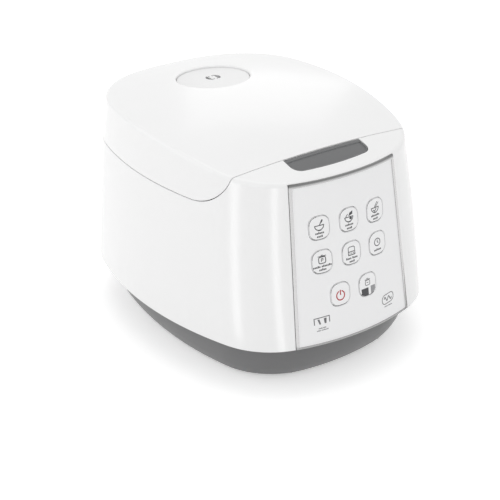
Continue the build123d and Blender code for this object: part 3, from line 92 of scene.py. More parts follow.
def add_object(name: str, data: bpy.types.ID) -> bpy.types.Object:
    """Put a new object in the scene.

    Args:
        name: Its name.
        data: Its mesh, curve, lamp or camera.

    Returns:
        The object.
    """
    made = bpy.data.objects.new(name, data)
    bpy.context.scene.collection.objects.link(made)
    return made


def add_shape(name: str, shape: bmesh.types.BMesh, material: bpy.types.Material) -> bpy.types.Object:
    """Put a finished shape in the scene.

    Args:
        name: Name of the new piece.
        shape: Its faces, which are turned outwards and then freed.
        material: Its finish.

    Returns:
        The piece.
    """
    bmesh.ops.recalc_face_normals(shape, faces=shape.faces[:])
    mesh = bpy.data.meshes.new(name)
    shape.to_mesh(mesh)
    shape.free()
    mesh.materials.append(material)
    return add_object(name, mesh)


# ---- Shader effects shared by several finishes ----


class Grain(Enum):
    """Kind of small relief that a surface has."""

    MOULDED = "moulded"
    ERODED = "eroded"
    BRUSHED = "brushed"
    TURNED = "turned"
    FLECKED = "flecked"
    LAMINATE = "laminate"


class Wiring:
    """Node tree with short ways to add, feed and join nodes."""

    def __init__(self, tree: bpy.types.NodeTree) -> None:
        """Keep the tree that the nodes go into."""
        self.tree = tree

    def feed(self, socket: Socket, value: Value) -> None:
        """Join a socket to an input, or set the input to a plain value.

        Args:
            socket: The input.
            value: The socket or the plain value.
        """
        if isinstance(value, bpy.types.NodeSocket):
            self.tree.links.new(value, socket)
        else:
            socket.default_value = value

    def fill(self, node: Node, inputs: dict[str | int, Value]) -> None:
        """Feed several inputs of a node."""
        for key, value in inputs.items():
            self.feed(node.inputs[key], value)

    def node(self, kind: str, inputs: dict[str | int, Value] | None = None, **settings: object) -> Node:
        """Add a node, set its properties and feed its inputs.

        Args:
            kind: Blender's type name of the node, without its ShaderNode prefix.
            inputs: Sockets or values for its inputs, by name or place.
            **settings: Properties of the node.

        Returns:
            The new node.
        """
        made = self.tree.nodes.new(f"ShaderNode{kind}")
        for key, value in settings.items():
            setattr(made, key, value)
        self.fill(made, inputs or {})
        return made

    def maths(self, operation: str, *values: Value) -> Socket:
        """Result of a Math node, given its operation and its sockets or numbers."""
        return self.node("Math", dict(enumerate(values)), operation=operation).outputs[0]

    def span(self, source: Socket, low: float, high: float) -> Socket:
        """Map a value between 0 and 1 onto the range from low to high."""
        return self.node("MapRange", {"Value": source, "To Min": low, "To Max": high}).outputs[0]

    def mix(self, factor: Socket, first: Value, second: Value) -> Socket:
        """Mix two colours.

        Args:
            factor: Socket of the second colour's share.
            first: A socket or a colour.
            second: A socket or a colour.

        Returns:
            Socket of the mixed colour.
        """
        node = self.node("Mix", {"Factor": factor}, data_type="RGBA")
        for name, value in (("A", first), ("B", second)):
            socket = next(s for s in node.inputs if s.name == name and s.type == "RGBA")
            self.feed(socket, (*value, 1.0) if isinstance(value, tuple) else value)
        return next(s for s in node.outputs if s.type == "RGBA")


class EffectGroup(Wiring):
    """Shader node group with named sockets, built once."""

    def __init__(self, name: str, **inputs: float | None) -> None:
        """Start a group.

        Args:
            name: Name of the group in the file.
            **inputs: Starting value of each Float input, or None for a Vector input.
        """
        super().__init__(bpy.data.node_groups.new(name, "ShaderNodeTree"))
        for socket, value in inputs.items():
            kind = "NodeSocketVector" if value is None else "NodeSocketFloat"
            made = self.tree.interface.new_socket(socket, in_out="INPUT", socket_type=kind)
            if value is not None:
                made.default_value = value
        self.source = self.tree.nodes.new("NodeGroupInput")
        self.result = self.tree.nodes.new("NodeGroupOutput")

    def put_out(self, name: str, value: Socket, kind: str = "Float") -> None:
        """Add a named output of kind Float or Vector that puts out a value."""
        self.tree.interface.new_socket(name, in_out="OUTPUT", socket_type=f"NodeSocket{kind}")
        self.fill(self.result, {name: value})


class GrainGroup(EffectGroup):
    """Small relief of one kind, with its height and a mask from 0 to 1."""

    STREAK = (0.04, 1.0, 1.0)
    DETAIL = {Grain.MOULDED: 2.0, Grain.ERODED: 6.0, Grain.BRUSHED: 4.0}
    SOFTNESS = 0.6
    RING_DETAIL = 3.0
    FLECK_EDGE = (0.10, 0.20)

    def __init__(self, kind: Grain) -> None:
        """Build the group.

        Args:
            kind: The kind of relief.
        """
        super().__init__(f"{kind.value} grain", Place=None, Size=MM)
        self.place = self.source.outputs["Place"]
        self.scale = self.maths("DIVIDE", 1.0, self.source.outputs["Size"])
        builders = {Grain.TURNED: self._turned, Grain.FLECKED: self._flecked, Grain.LAMINATE: self._laminate}
        height, mask = builders[kind]() if kind in builders else self._noisy(kind)
        self.put_out("Height", height)
        self.put_out("Mask", mask)

    def _noisy(self, kind: Grain) -> SocketPair:
        """Noise: even for mouldings, pitted for eroded tools, streaked for brushing.

        Args:
            kind: The kind of relief.

        Returns:
            Sockets of the height and of the mask.
        """
        stretch = self.STREAK if kind is Grain.BRUSHED else (1.0, 1.0, 1.0)
        place = self.node("Mapping", {"Vector": self.place, "Scale": stretch}).outputs[0]
        shared = {"Vector": place, "Scale": self.scale}
        noise_inputs = {**shared, "Detail": self.DETAIL[kind], "Roughness": self.SOFTNESS}
        noise = self.node("TexNoise", noise_inputs).outputs[0]
        if kind is not Grain.ERODED:
            return noise, noise
        cells = self.node("TexVoronoi", {**shared, "Smoothness": self.SOFTNESS}, feature="SMOOTH_F1")
        return self.maths("MULTIPLY", self.maths("ADD", noise, cells.outputs[0]), 0.5), noise

    def _turned(self) -> SocketPair:
        """Fine rings round the position's Z axis, as a lathe leaves them.

        Returns:
            Sockets of the height and of the mask.
        """
        flat = self.node("VectorMath", {0: self.place, 1: (1.0, 1.0, 0.0)}, operation="MULTIPLY")
        length = self.node("VectorMath", {0: flat.outputs[0]}, operation="LENGTH").outputs["Value"]
        rings = {"W": self.maths("MULTIPLY", length, self.scale), "Scale": 1.0, "Detail": self.RING_DETAIL}
        noise = self.node("TexNoise", rings, noise_dimensions="1D").outputs[0]
        return noise, noise

    def _flecked(self) -> SocketPair:
        """Orange-peel relief with small separate flecks as the mask.

        Returns:
            Sockets of the height and of the mask.
        """
        shared = {"Vector": self.place, "Scale": self.scale}
        noise, cells = self.node("TexNoise", shared), self.node("TexVoronoi", shared)
        ramp = self.node("ValToRGB", {0: cells.outputs["Distance"]})
        for element, place, shade in zip(ramp.color_ramp.elements, self.FLECK_EDGE, (1, 0)):
            element.position = place
            element.color = (shade, shade, shade, 1)
        return noise.outputs[0], ramp.outputs[0]

    def _laminate(self) -> SocketPair:
        """Crossed threads under a board's varnish.

        Returns:
            Sockets of the height and of the mask.
        """
        sides = self.node("SeparateXYZ", {0: self.place})
        threads = [self.maths("MULTIPLY", sides.outputs[axis], self.scale) for axis in range(2)]
        waves = [self.maths("SINE", self.maths("MULTIPLY", thread, 2 * math.pi)) for thread in threads]
        level = self.maths("ADD", self.maths("MULTIPLY", self.maths("MULTIPLY", *waves), 0.5), 0.5)
        return level, level


class Effects:
    """Library of the shared shader effects."""

    PATCH = 80 * MM
    PATCH_DETAIL = 4.0
    SPECKS_PER_METRE = 900.0
    SPECK_DETAIL = 5.0
    SPECK_SPARSITY = 3.0
    EDGE_GAIN = 5.0

    def __init__(self) -> None:
        """Build every effect's node group once."""
        self.grains = {kind: GrainGroup(kind).tree for kind in Grain}
        self.patina = self._patina()
        self.edges = self._edges()

    def _patina(self) -> bpy.types.NodeTree:
        """Large, faint differences of shade, and dust that gathers on what faces up.

        Returns:
            The node group, which puts out a factor for the colour and one for the dust.
        """
        group = EffectGroup("shade and dust", Place=None, Dust=0.0)
        place = {"Vector": group.source.outputs["Place"]}
        shade = group.node("TexNoise", {**place, "Scale": 1 / self.PATCH, "Detail": self.PATCH_DETAIL})
        fine = group.node("TexNoise", {**place, "Scale": self.SPECKS_PER_METRE, "Detail": self.SPECK_DETAIL})
        sides = group.node("SeparateXYZ", {0: group.node("NewGeometry").outputs["Normal"]})
        upward = group.maths("MAXIMUM", sides.outputs[2], 0.0)
        specks = group.maths("POWER", fine.outputs[0], self.SPECK_SPARSITY)
        group.put_out("Shade", shade.outputs[0])
        dust = group.maths("MULTIPLY", group.source.outputs["Dust"], group.maths("MULTIPLY", upward, specks))
        group.put_out("Dust Mask", dust)
        return group.tree

    def _edges(self) -> bpy.types.NodeTree:
        """Softened corners and a mask along them.

        Returns:
            The node group, which puts out a rounded normal and the mask.
        """
        group = EffectGroup("soft edges", Radius=0.4 * MM)
        rounded_normal = group.node("Bevel", {"Radius": group.source.outputs["Radius"]}, samples=4).outputs[0]
        sides = {0: rounded_normal, 1: group.node("NewGeometry").outputs["Normal"]}
        match = group.node("VectorMath", sides, operation="DOT_PRODUCT").outputs["Value"]
        turned = group.maths("MULTIPLY", group.maths("SUBTRACT", 1.0, match), self.EDGE_GAIN)
        group.put_out("Normal", rounded_normal, "Vector")
        group.put_out("Mask", group.maths("MINIMUM", turned, 1.0))
        return group.tree


# ---- Finishes ----


@dataclass(frozen=True)
class Tone:
    """Second shade that a finish fades into along one direction of the cooker, painted into its colour as
    shade.
    """

    axis: int
    start: float
    end: float
    colour: Colour


@dataclass(frozen=True)
class Finish:
    """One finish of the cooker, as its maker would specify it."""

    name: str
    colour: Colour
    roughness: float
    grain: Grain = Grain.MOULDED
    grain_mm: float = 0.6
    relief_mm: float = 0.01
    second_colour: Colour | None = None
    shade_spread: float = 0.02
    gloss_spread: float = 0.05
    metallic: float = 0.0
    coat: float = 0.0
    transmission: float = 0.0
    edge_mm: float = 0.0
    edge_lift: float = 0.0
    dust: float = 0.0
    centre: Colour = (0.0, 0.0, 0.0)
    tones: tuple[Tone, ...] = ()


class MaterialWiring(Wiring):
    """Node material of one finish."""

    COAT_ROUGHNESS = 0.04
    SMOOTHEST = 0.02
    DUST = (0.62, 0.60, 0.57)
    WORN_GAIN = 1.6
    WORN_BASE = 0.02

    def __init__(self, finish: Finish, effects: Effects) -> None:
        """Build the material.

        Args:
            finish: The finish.
            effects: The shared node groups.
        """
        self.material = bpy.data.materials.new(finish.name)
        self.material.use_nodes = True
        super().__init__(self.material.node_tree)
        self.finish = finish
        self.effects = effects
        self.shader = self.tree.nodes["Principled BSDF"]
        self.fill(self.shader, {"Metallic": finish.metallic, "Transmission Weight": finish.transmission})
        self.fill(self.shader, {"Coat Weight": finish.coat, "Coat Roughness": self.COAT_ROUGHNESS})
        place = self.node("TexCoord").outputs["Object"]
        if any(finish.centre):
            shift = tuple(-part for part in finish.centre)
            place = self.node("Mapping", {"Vector": place, "Location": shift}).outputs[0]
        self.grain = self.effect(effects.grains[finish.grain], Place=place, Size=finish.grain_mm * MM)
        self.patina = self.effect(effects.patina, Place=place, Dust=finish.dust)
        self._dress_colour()
        self._dress_gloss()
        self._dress_relief()

    def effect(self, group: bpy.types.NodeTree, **inputs: Value) -> Node:
        """Place a shared effect, with sockets or numbers for its inputs."""
        return self.node("Group", inputs, node_tree=group)

    def _dress_colour(self) -> None:
        """Vary the colour with the large patches, the grain, the lightened edges (wear, and on the button a
        painted highlight), the tones (painted shade) and the dust.
        """
        finish = self.finish
        darker = tuple(part * (1 - finish.shade_spread) for part in finish.colour)
        lighter = tuple(min(1.0, part * (1 + finish.shade_spread)) for part in finish.colour)
        colour = self.mix(self.patina.outputs["Shade"], darker, lighter)
        if finish.second_colour is not None:
            colour = self.mix(self.grain.outputs["Mask"], colour, finish.second_colour)
        # Lightened edges: wear on most finishes, a painted highlight along the button's rounded rim.
        if finish.edge_lift:
            edges = self.effect(self.effects.edges, Radius=finish.edge_mm * MM)
            edge_wear_and_highlight = tuple(min(1.0, part * self.WORN_GAIN + self.WORN_BASE) for part in finish.colour)
            colour = self.mix(self.span(edges.outputs["Mask"], 0.0, finish.edge_lift), colour, edge_wear_and_highlight)
        # Each tone paints shade into the colour, fading in along one axis.
        for tone in finish.tones:
            sides = self.node("SeparateXYZ", {0: self.node("TexCoord").outputs["Object"]})
            ends = {"Value": sides.outputs[tone.axis], "From Min": tone.start, "From Max": tone.end}
            fade = self.node("MapRange", ends, interpolation_type="SMOOTHSTEP")
            colour = self.mix(fade.outputs[0], colour, tone.colour)
        if finish.dust:
            colour = self.mix(self.patina.outputs["Dust Mask"], colour, self.DUST)
        self.fill(self.shader, {"Base Color": colour})

    def _dress_gloss(self) -> None:
        """Vary the roughness a little over the surface."""
        finish = self.finish
        source = self.patina.outputs["Shade"] if finish.grain is Grain.MOULDED else self.grain.outputs["Mask"]
        low = max(self.SMOOTHEST, finish.roughness - finish.gloss_spread)
        high = finish.roughness + finish.gloss_spread
        self.fill(self.shader, {"Roughness": self.span(source, low, high)})

    def _dress_relief(self) -> None:
        """Turn the grain into a bump, over softened edges where the finish has them."""
        finish = self.finish
        inputs = {"Distance": finish.relief_mm * MM, "Strength": 1.0, "Height": self.grain.outputs["Height"]}
        if finish.edge_mm:
            edges = self.effect(self.effects.edges, Radius=finish.edge_mm * MM)
            inputs["Normal"] = edges.outputs["Normal"]
        self.fill(self.shader, {"Normal": self.node("Bump", inputs).outputs[0]})


class Finishes:
    """All finishes of the cooker, each built the first time that it is used."""

    SHELL = Finish(
        "gloss white shell", (0.88, 0.88, 0.88), 0.22, grain_mm=1.6, relief_mm=0.004, shade_spread=0.01,
        gloss_spread=0.03, coat=0.12, edge_mm=0.5, dust=0.02,
    )
    INNER_SHELL = Finish(
        "matt white moulding", (0.78, 0.78, 0.77), 0.42, Grain.ERODED, 0.5, 0.01, edge_mm=0.3,
    )
    MILKY = Finish(
        "milky polypropylene", (0.80, 0.81, 0.82), 0.24, grain_mm=0.9, relief_mm=0.006, coat=0.1,
        transmission=0.25, edge_mm=0.3,
    )
    # Satin white made greyer than the shell, to paint the shade of the sunk vent cap.
    VENT_TOP = Finish(
        "satin white vent", (0.80, 0.80, 0.80), 0.34, Grain.ERODED, 0.35, 0.003, shade_spread=0.01,
        gloss_spread=0.03, edge_mm=0.4, dust=0.02,
    )
    BASE = Finish(
        "grained grey base", (0.155, 0.155, 0.158), 0.40, Grain.ERODED, 0.45, 0.012, shade_spread=0.05,
        gloss_spread=0.06, edge_mm=0.5, edge_lift=0.25, dust=0.05,
    )
    # The button's strong edge lift paints a highlight along its rounded rim.
    BUTTON = Finish(
        "satin grey button", (0.115, 0.117, 0.12), 0.28, grain_mm=0.5, relief_mm=0.004, shade_spread=0.04,
        coat=0.15, edge_mm=1.2, edge_lift=0.8, dust=0.03,
    )
    COLLAR = Finish(
        "satin grey collar", (0.42, 0.43, 0.44), 0.36, Grain.ERODED, 0.4, 0.008, edge_mm=0.3,
        edge_lift=0.15,
    )
    FILM = Finish(
        "silk panel film", (0.88, 0.88, 0.885), 0.34, Grain.ERODED, 0.25, 0.003, shade_spread=0.01,
        gloss_spread=0.04, coat=0.08,
    )
    KEY = Finish(
        "silk key top", (0.885, 0.885, 0.89), 0.30, Grain.ERODED, 0.25, 0.003, shade_spread=0.01,
        gloss_spread=0.04, coat=0.12, edge_mm=0.35,
    )
    TRIM = Finish(
        "satin metallised trim", (0.56, 0.56, 0.56), 0.26, Grain.BRUSHED, 0.3, 0.002, metallic=0.85,
        edge_mm=0.2, edge_lift=0.3,
    )
    RUBBER = Finish(
        "grey rubber", (0.09, 0.09, 0.095), 0.72, Grain.ERODED, 0.35, 0.02, shade_spread=0.08, dust=0.25,
    )
    SILICONE = Finish(
        "soft silicone", (0.62, 0.63, 0.64), 0.50, Grain.ERODED, 0.5, 0.006, shade_spread=0.03,
        transmission=0.08, edge_mm=0.4,
    )
    COATED_POT = Finish(
        "non-stick coating", (0.055, 0.055, 0.058), 0.34, Grain.FLECKED, 1.4, 0.006, (0.16, 0.16, 0.165),
        shade_spread=0.05, metallic=0.2, edge_mm=0.3, edge_lift=0.3,
    )
    CAST_PLATE = Finish(
        "turned cast plate", (0.58, 0.59, 0.60), 0.34, Grain.TURNED, 0.7, 0.02, shade_spread=0.05,
        metallic=1.0, edge_mm=0.3,
    )
    SPUN_PLATE = Finish(
        "spun aluminium", (0.76, 0.76, 0.77), 0.30, Grain.TURNED, 1.0, 0.0015, metallic=1.0, edge_mm=0.2,
    )
    STEEL = Finish(
        "zinc-plated steel", (0.60, 0.61, 0.62), 0.32, Grain.FLECKED, 3.0, 0.002, (0.70, 0.71, 0.72),
        shade_spread=0.06, metallic=1.0, edge_mm=0.2,
    )
    HEAT_TINT = Finish(
        "heat-tinted steel", (0.30, 0.25, 0.21), 0.38, Grain.BRUSHED, 0.6, 0.004, (0.20, 0.21, 0.26),
        shade_spread=0.2, metallic=1.0,
    )
    BRASS = Finish(
        "nickelled brass", (0.68, 0.60, 0.42), 0.24, Grain.BRUSHED, 0.3, 0.002, metallic=1.0, edge_mm=0.2,
    )
    BOARD = Finish(
        "varnished board", (0.03, 0.16, 0.07), 0.30, Grain.LAMINATE, 0.8, 0.004, (0.05, 0.24, 0.11),
        shade_spread=0.1, coat=0.3,
    )
    BLACK = Finish(
        "black moulding", (0.022, 0.022, 0.024), 0.42, Grain.ERODED, 0.4, 0.01, shade_spread=0.1,
        edge_mm=0.3, edge_lift=0.3,
    )
    LAMP = Finish(
        "clear red lamp", (0.75, 0.08, 0.05), 0.12, grain_mm=0.4, relief_mm=0.001, coat=0.4,
        transmission=0.3,
    )
    INK = Finish("grey ink", (0.05, 0.05, 0.055), 0.45, Grain.ERODED, 0.3, 0.002, shade_spread=0.15)
    SMOKE_INK = Finish(
        "smoke grey ink", (0.27, 0.27, 0.28), 0.30, Grain.ERODED, 0.3, 0.002, shade_spread=0.1, coat=0.2,
    )
    PALE_INK = Finish(
        "pale grey ink", (0.13, 0.13, 0.135), 0.45, Grain.ERODED, 0.3, 0.002, shade_spread=0.08,
    )
    RED_INK = Finish("red ink", (0.40, 0.002, 0.008), 0.45, Grain.ERODED, 0.3, 0.002, shade_spread=0.1)
    WHITE_INK = Finish("white ink", (0.60, 0.60, 0.60), 0.5, Grain.ERODED, 0.3, 0.002, shade_spread=0.1)

    def __init__(self, nodes: dict[str, bpy.types.Object]) -> None:
        """Build the shared effects.

        Args:
            nodes: The frame's pieces by name.
        """
        self.nodes = nodes
        self.effects = Effects()
        self._made: dict[str, bpy.types.Material] = {}

    def get(self, finish: Finish) -> bpy.types.Material:
        """Give a finish's material.

        Args:
            finish: The finish.

        Returns:
            Its material.
        """
        if finish.name not in self._made:
            self._made[finish.name] = MaterialWiring(finish, self.effects).material
        return self._made[finish.name]

    def dress(self, finish: Finish, *names: str) -> None:
        """Give frame pieces their finish.

        Args:
            finish: The finish.
            *names: Names of the pieces.
        """
        for name in names:
            materials = self.nodes[name].data.materials
            materials.clear()
            materials.append(self.get(finish))
            LOG.info("%s: %s", name, finish.name)


# ---- Printed marks ----


class Drawing:
    """Flat mark made of filled faces, in millimetres, with X to the right and Y up."""

    SHARPEST = 0.35
    BLOCK_WIDTH, BLOCK_STEP, WORD_SPACE, LOW_BLOCK = 0.56, 0.74, 0.5, 0.72
    TALL_EVERY = 4

    def __init__(self) -> None:
        """Start an empty mark."""
        self.faces: list[Face2] = []

    def fill(self, points: Face2) -> Drawing:
        """Add one filled outline."""
        self.faces.append(points)
        return self

    def bar(self, middle: Point2, width: float, height: float) -> Drawing:
        """Add an upright rectangle round its middle."""
        corners = ((-1, -1), (1, -1), (1, 1), (-1, 1))
        return self.fill([(middle[0] + x * width / 2, middle[1] + y * height / 2) for x, y in corners])

    def line(self, points: Face2, width: float, closed: bool = False) -> Drawing:
        """Add a line of even width with mitred corners.

        Args:
            points: Points of its middle.
            width: Its width.
            closed: True where the last point joins the first.

        Returns:
            The drawing.
        """
        count = len(points)
        sides = []
        for place in range(count):
            here = Vector(points[place])
            before = Vector(points[place - 1]) if closed or place else here
            after = Vector(points[(place + 1) % count]) if closed or place < count - 1 else here
            into = (here - before).normalized() if here != before else (after - here).normalized()
            out = (after - here).normalized() if after != here else into
            across = Vector((-into.y - out.y, into.x + out.x)).normalized()
            reach = width / 2 / max(self.SHARPEST, across.dot(Vector((-into.y, into.x))))
            sides.append((here + across * reach, here - across * reach))
        for place in range(count if closed else count - 1):
            left, right = sides[place]
            next_left, next_right = sides[(place + 1) % count]
            self.fill([tuple(left), tuple(right), tuple(next_right), tuple(next_left)])
        return self

    def caption(
        self, top: float, rows: tuple[tuple[int, ...], ...], height: float = 2.1, pitch: float = 3.3
    ) -> Drawing:
        """Add rows of small blocks, grouped like words, that stand in for small print.

        Args:
            top: Height of the first row's upper edge.
            rows: Number of blocks in each word of each row.
            height: Height of a row.
            pitch: Distance between rows.

        Returns:
            The drawing.
        """
        width, step, space = height * self.BLOCK_WIDTH, height * self.BLOCK_STEP, height * self.WORD_SPACE
        for row, words in enumerate(rows):
            x = -(sum(words) * step + (len(words) - 1) * space) / 2
            low = top - height - row * pitch
            for word in words:
                for block in range(word):
                    is_tall = (block + word + row) % self.TALL_EVERY == 0
                    tall = height if is_tall else height * self.LOW_BLOCK
                    self.bar((x + width / 2, low + tall / 2), width, tall)
                    x += step
                x += space
        return self


def arc(middle: Point2, radius: float | Point2, start: float, end: float, steps: int = 16) -> Face2:
    """Points along an arc.

    Args:
        middle: Its middle.
        radius: Its radius, or its radii along X and Y.
        start: Starting angle in degrees.
        end: End angle in degrees.
        steps: Number of spans.

    Returns:
        The points.
    """
    wide, high = radius if isinstance(radius, tuple) else (radius, radius)
    angles = [math.radians(start + (end - start) * step / steps) for step in range(steps + 1)]
    return [(middle[0] + wide * math.cos(angle), middle[1] + high * math.sin(angle)) for angle in angles]


def rounded(width: float, height: float, corner: float, steps: int = 6) -> Face2:
    """Outline of a rounded rectangle round the origin.

    Args:
        width: Its width.
        height: Its height.
        corner: Its corner radius.
        steps: Spans in each corner.

    Returns:
        The points, without the first one repeated.
    """
    x, y = width / 2 - corner, height / 2 - corner
    points: Face2 = []
    for middle, start in (((x, y), 0), ((-x, y), 90), ((-x, -y), 180), ((x, -y), 270)):
        points += arc(middle, corner, start, start + 90, steps)
    return points


@dataclass
class PrintBed:
    """Surface of a frame piece that marks are laid on."""

    node: str
    origin: Vector
    across: Vector
    up: Vector
    reach: float = 30 * MM
    tree: BVHTree = field(init=False)

    def __post_init__(self) -> None:
        """Read the piece's surface."""
        mesh = bpy.data.objects[self.node].data
        points = [vertex.co for vertex in mesh.vertices]
        self.tree = BVHTree.FromPolygons(points, [list(polygon.vertices) for polygon in mesh.polygons])

    def ray(self, x: float, y: float) -> tuple[Vector, Vector]:
        """Start and direction of the ray that meets the surface x across and y up."""
        out = self.across.cross(self.up)
        return self.origin + self.across * x + self.up * y + out * self.reach, -out

    def lay(self, x: float, y: float, lift: float) -> Vector:
        """Point on or just off the surface.

        Args:
            x: Distance across.
            y: Distance up.
            lift: Distance off the surface.

        Returns:
            The point.

        Raises:
            ValueError: Where the ray misses the piece.
        """
        start, direction = self.ray(x, y)
        hit = self.tree.ray_cast(start, direction)[0]
        if hit is None:
            raise ValueError(f"mark runs off {self.node} at {x / MM:.1f}, {y / MM:.1f} mm")
        return hit - direction * lift


@dataclass
class RoundBed(PrintBed):
    """Inner wall of a round piece; X is measured along the wall and Y upwards."""

    radius: float = 0.1
    facing: float = 90.0

    def ray(self, x: float, y: float) -> tuple[Vector, Vector]:
        """Start and direction of the ray from the axis to the wall, x along it to the right and y up."""
        angle = math.radians(self.facing) - x / self.radius
        return self.origin + UP * y, Vector((math.cos(angle), math.sin(angle), 0.0))


class Printer:
    """Lays drawings on surfaces as thin films of ink."""

    INK_T = 0.05 * MM
    SINK = 0.03 * MM
    STEP = 2.5 * MM
    WELD = 0.001 * MM

    def __init__(self, finishes: Finishes) -> None:
        """Keep the finishes that the inks come from."""
        self.finishes = finishes

    def lay(self, name: str, drawing: Drawing, bed: PrintBed, body: str, ink: Finish, slot: str) -> None:
        """Lay a drawing on a surface.

        Args:
            name: Name of the new piece.
            drawing: The mark.
            bed: The surface.
            body: Body that the piece rides on.
            ink: Finish of the ink.
            slot: Material slot that the ink belongs to; not used.
        """
        sheet = bmesh.new()
        for points in drawing.faces:
            sheet.faces.new([sheet.verts.new((x * MM, y * MM, 0.0)) for x, y in points])
        bmesh.ops.remove_doubles(sheet, verts=sheet.verts[:], dist=self.WELD)
        self._slice(sheet)
        bmesh.ops.triangulate(sheet, faces=sheet.faces[:])
        bottom = bmesh.ops.extrude_face_region(sheet, geom=sheet.faces[:])["geom"]
        lower = {v for v in bottom if isinstance(v, bmesh.types.BMVert)}
        for vertex in sheet.verts:
            vertex.co = bed.lay(vertex.co.x, vertex.co.y, -self.SINK if vertex in lower else self.INK_T)
        piece = add_shape(name, sheet, self.finishes.get(ink))
        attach(piece, body)
        LOG.info("%s: printed on %s", name, bed.node)

    def _slice(self, sheet: bmesh.types.BMesh) -> None:
        """Cut the flat mark along both directions so that it can follow a curved surface.

        Args:
            sheet: The flat mark.
        """
        for axis in (RIGHT, BACK):
            places = [vertex.co.dot(axis) for vertex in sheet.verts]
            for step in range(math.ceil(min(places) / self.STEP), math.floor(max(places) / self.STEP) + 1):
                geometry = sheet.verts[:] + sheet.edges[:] + sheet.faces[:]
                bmesh.ops.bisect_plane(sheet, geom=geometry, plane_co=axis * step * self.STEP, plane_no=axis)


def numeral(text: str, height: float) -> Drawing:
    """Drawing of a plain number, from the built-in typeface.

    Args:
        text: The number.
        height: Height of its figures in millimetres.

    Returns:
        The drawing, centred on the origin.
    """
    figure_share = 0.7
    curve = bpy.data.curves.new("numeral", "FONT")
    curve.body = text
    curve.align_x = "CENTER"
    curve.align_y = "CENTER"
    curve.size = height / figure_share
    curve.resolution_u = 3
    carrier = add_object("numeral", curve)
    mesh = bpy.data.meshes.new_from_object(carrier)
    drawing = Drawing()
    for polygon in mesh.polygons:
        drawing.fill([tuple(mesh.vertices[v].co.xy) for v in polygon.vertices])
    bpy.data.objects.remove(carrier)
    bpy.data.curves.remove(curve)
    bpy.data.meshes.remove(mesh)
    return drawing


# ---- Sub-assemblies ----


def centred(node: str, finish: Finish) -> Finish:
    """Finish with its rings round a piece's middle.

    Args:
        node: Name of the piece.
        finish: The finish without its middle.

    Returns:
        The finish.
    """
    low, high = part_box(node)
    middle = (low + high) / 2
    return replace(finish, centre=(middle.x, middle.y, 0.0))


@dataclass(frozen=True)
class CoilSpring:
    """Wound spring at the length that the frame gives it, standing on its lower end; on the cooker it
    shortens as a joint moves.
    """

    node: str
    joint: str
    travel: float
    wire: float
    turns: int
    steps: int = 24
    sides: int = 10

    def build(self, finishes: Finishes) -> None:
        """Wind the spring in the place of the frame's rigid one.

        Args:
            finishes: The cooker's finishes.
        """
        low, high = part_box(self.node)
        height = high.z - low.z
        foot = (low + high) / 2 - UP * height / 2
        coil = self._wind(foot, (high.x - low.x) / 2 - self.wire, height)
        spring = add_shape(f"{self.node}_coil", coil, finishes.get(Finishes.STEEL))
        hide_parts(self.node)
        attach(spring, "root")
        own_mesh(spring)
        LOG.info("%s: wound", spring.name)

    def _wind(self, foot: Vector, radius: float, height: float) -> bmesh.types.BMesh:
        """Sweep the round wire along its helix.

        Args:
            foot: Middle of the spring's lower end.
            radius: Radius of the helix.
            height: Height of the spring.

        Returns:
            The spring's shape.
        """
        count = self.turns * self.steps
        coil = bmesh.new()
        rings = []
        for step in range(count + 1):
            angle = 2 * math.pi * step / self.steps
            outward = RIGHT * math.cos(angle) + BACK * math.sin(angle)
            centre = foot + outward * radius + UP * (self.wire + (height - 2 * self.wire) * step / count)
            ring = []
            for side in range(self.sides):
                turn = 2 * math.pi * side / self.sides
                edge = outward * math.cos(turn) + UP * math.sin(turn)
                ring.append(coil.verts.new(centre + edge * self.wire))
            rings.append(ring)
        for first, second in zip(rings, rings[1:]):
            for side in range(self.sides):
                after = (side + 1) % self.sides
                coil.faces.new((first[side], first[after], second[after], second[side]))
        coil.faces.new(rings[0])
        coil.faces.new(rings[-1])
        for face in coil.faces:
            face.smooth = len(face.verts) == 4
        return coil


@dataclass
class Housing:
    """Casing, base, well, hinge, inlet and the electronics inside."""

    finishes: Finishes
    springs: tuple[CoilSpring, ...] = (
        CoilSpring("sensor_spring", "sensor_plunge", travel=2.05 * MM, wire=0.7 * MM, turns=4),
        CoilSpring("latch_spring", "latch_swing", travel=4.9 * MM, wire=0.6 * MM, turns=5),
    )

    def dress(self) -> None:
        """Give every fixed piece its finish and wind the two springs that shorten."""
        put = self.finishes.dress
        put(Finishes.SHELL, "outer_casing")
        put(Finishes.BASE, "base_tray")
        put(Finishes.RUBBER, "rubber_feet")
        put(Finishes.COLLAR, "collar_ring")
        put(Finishes.INNER_SHELL, "hinge_bracket")
        put(Finishes.STEEL, "base_screws", "heat_shield", "plate_standoffs", "sensor_bracket")
        put(Finishes.STEEL, "sensor_spring", "latch_pin", "latch_spring", "hinge_pin", "hinge_springs")
        for spring in self.springs:
            spring.build(self.finishes)
        put(Finishes.HEAT_TINT, "heater_element")
        put(Finishes.BLACK, "thermal_fuse", "power_inlet", "relay", "transformer", "capacitors")
        put(Finishes.BLACK, "tact_switches", "latch_hook")
        put(Finishes.BRASS, "inlet_pins")
        put(Finishes.BOARD, "control_board", "power_board")
        put(Finishes.LAMP, "indicator_leds")
        put(Finishes.MILKY, "condensation_collector")
        put(centred("heating_plate", Finishes.CAST_PLATE), "heating_plate", "sensor_cup")


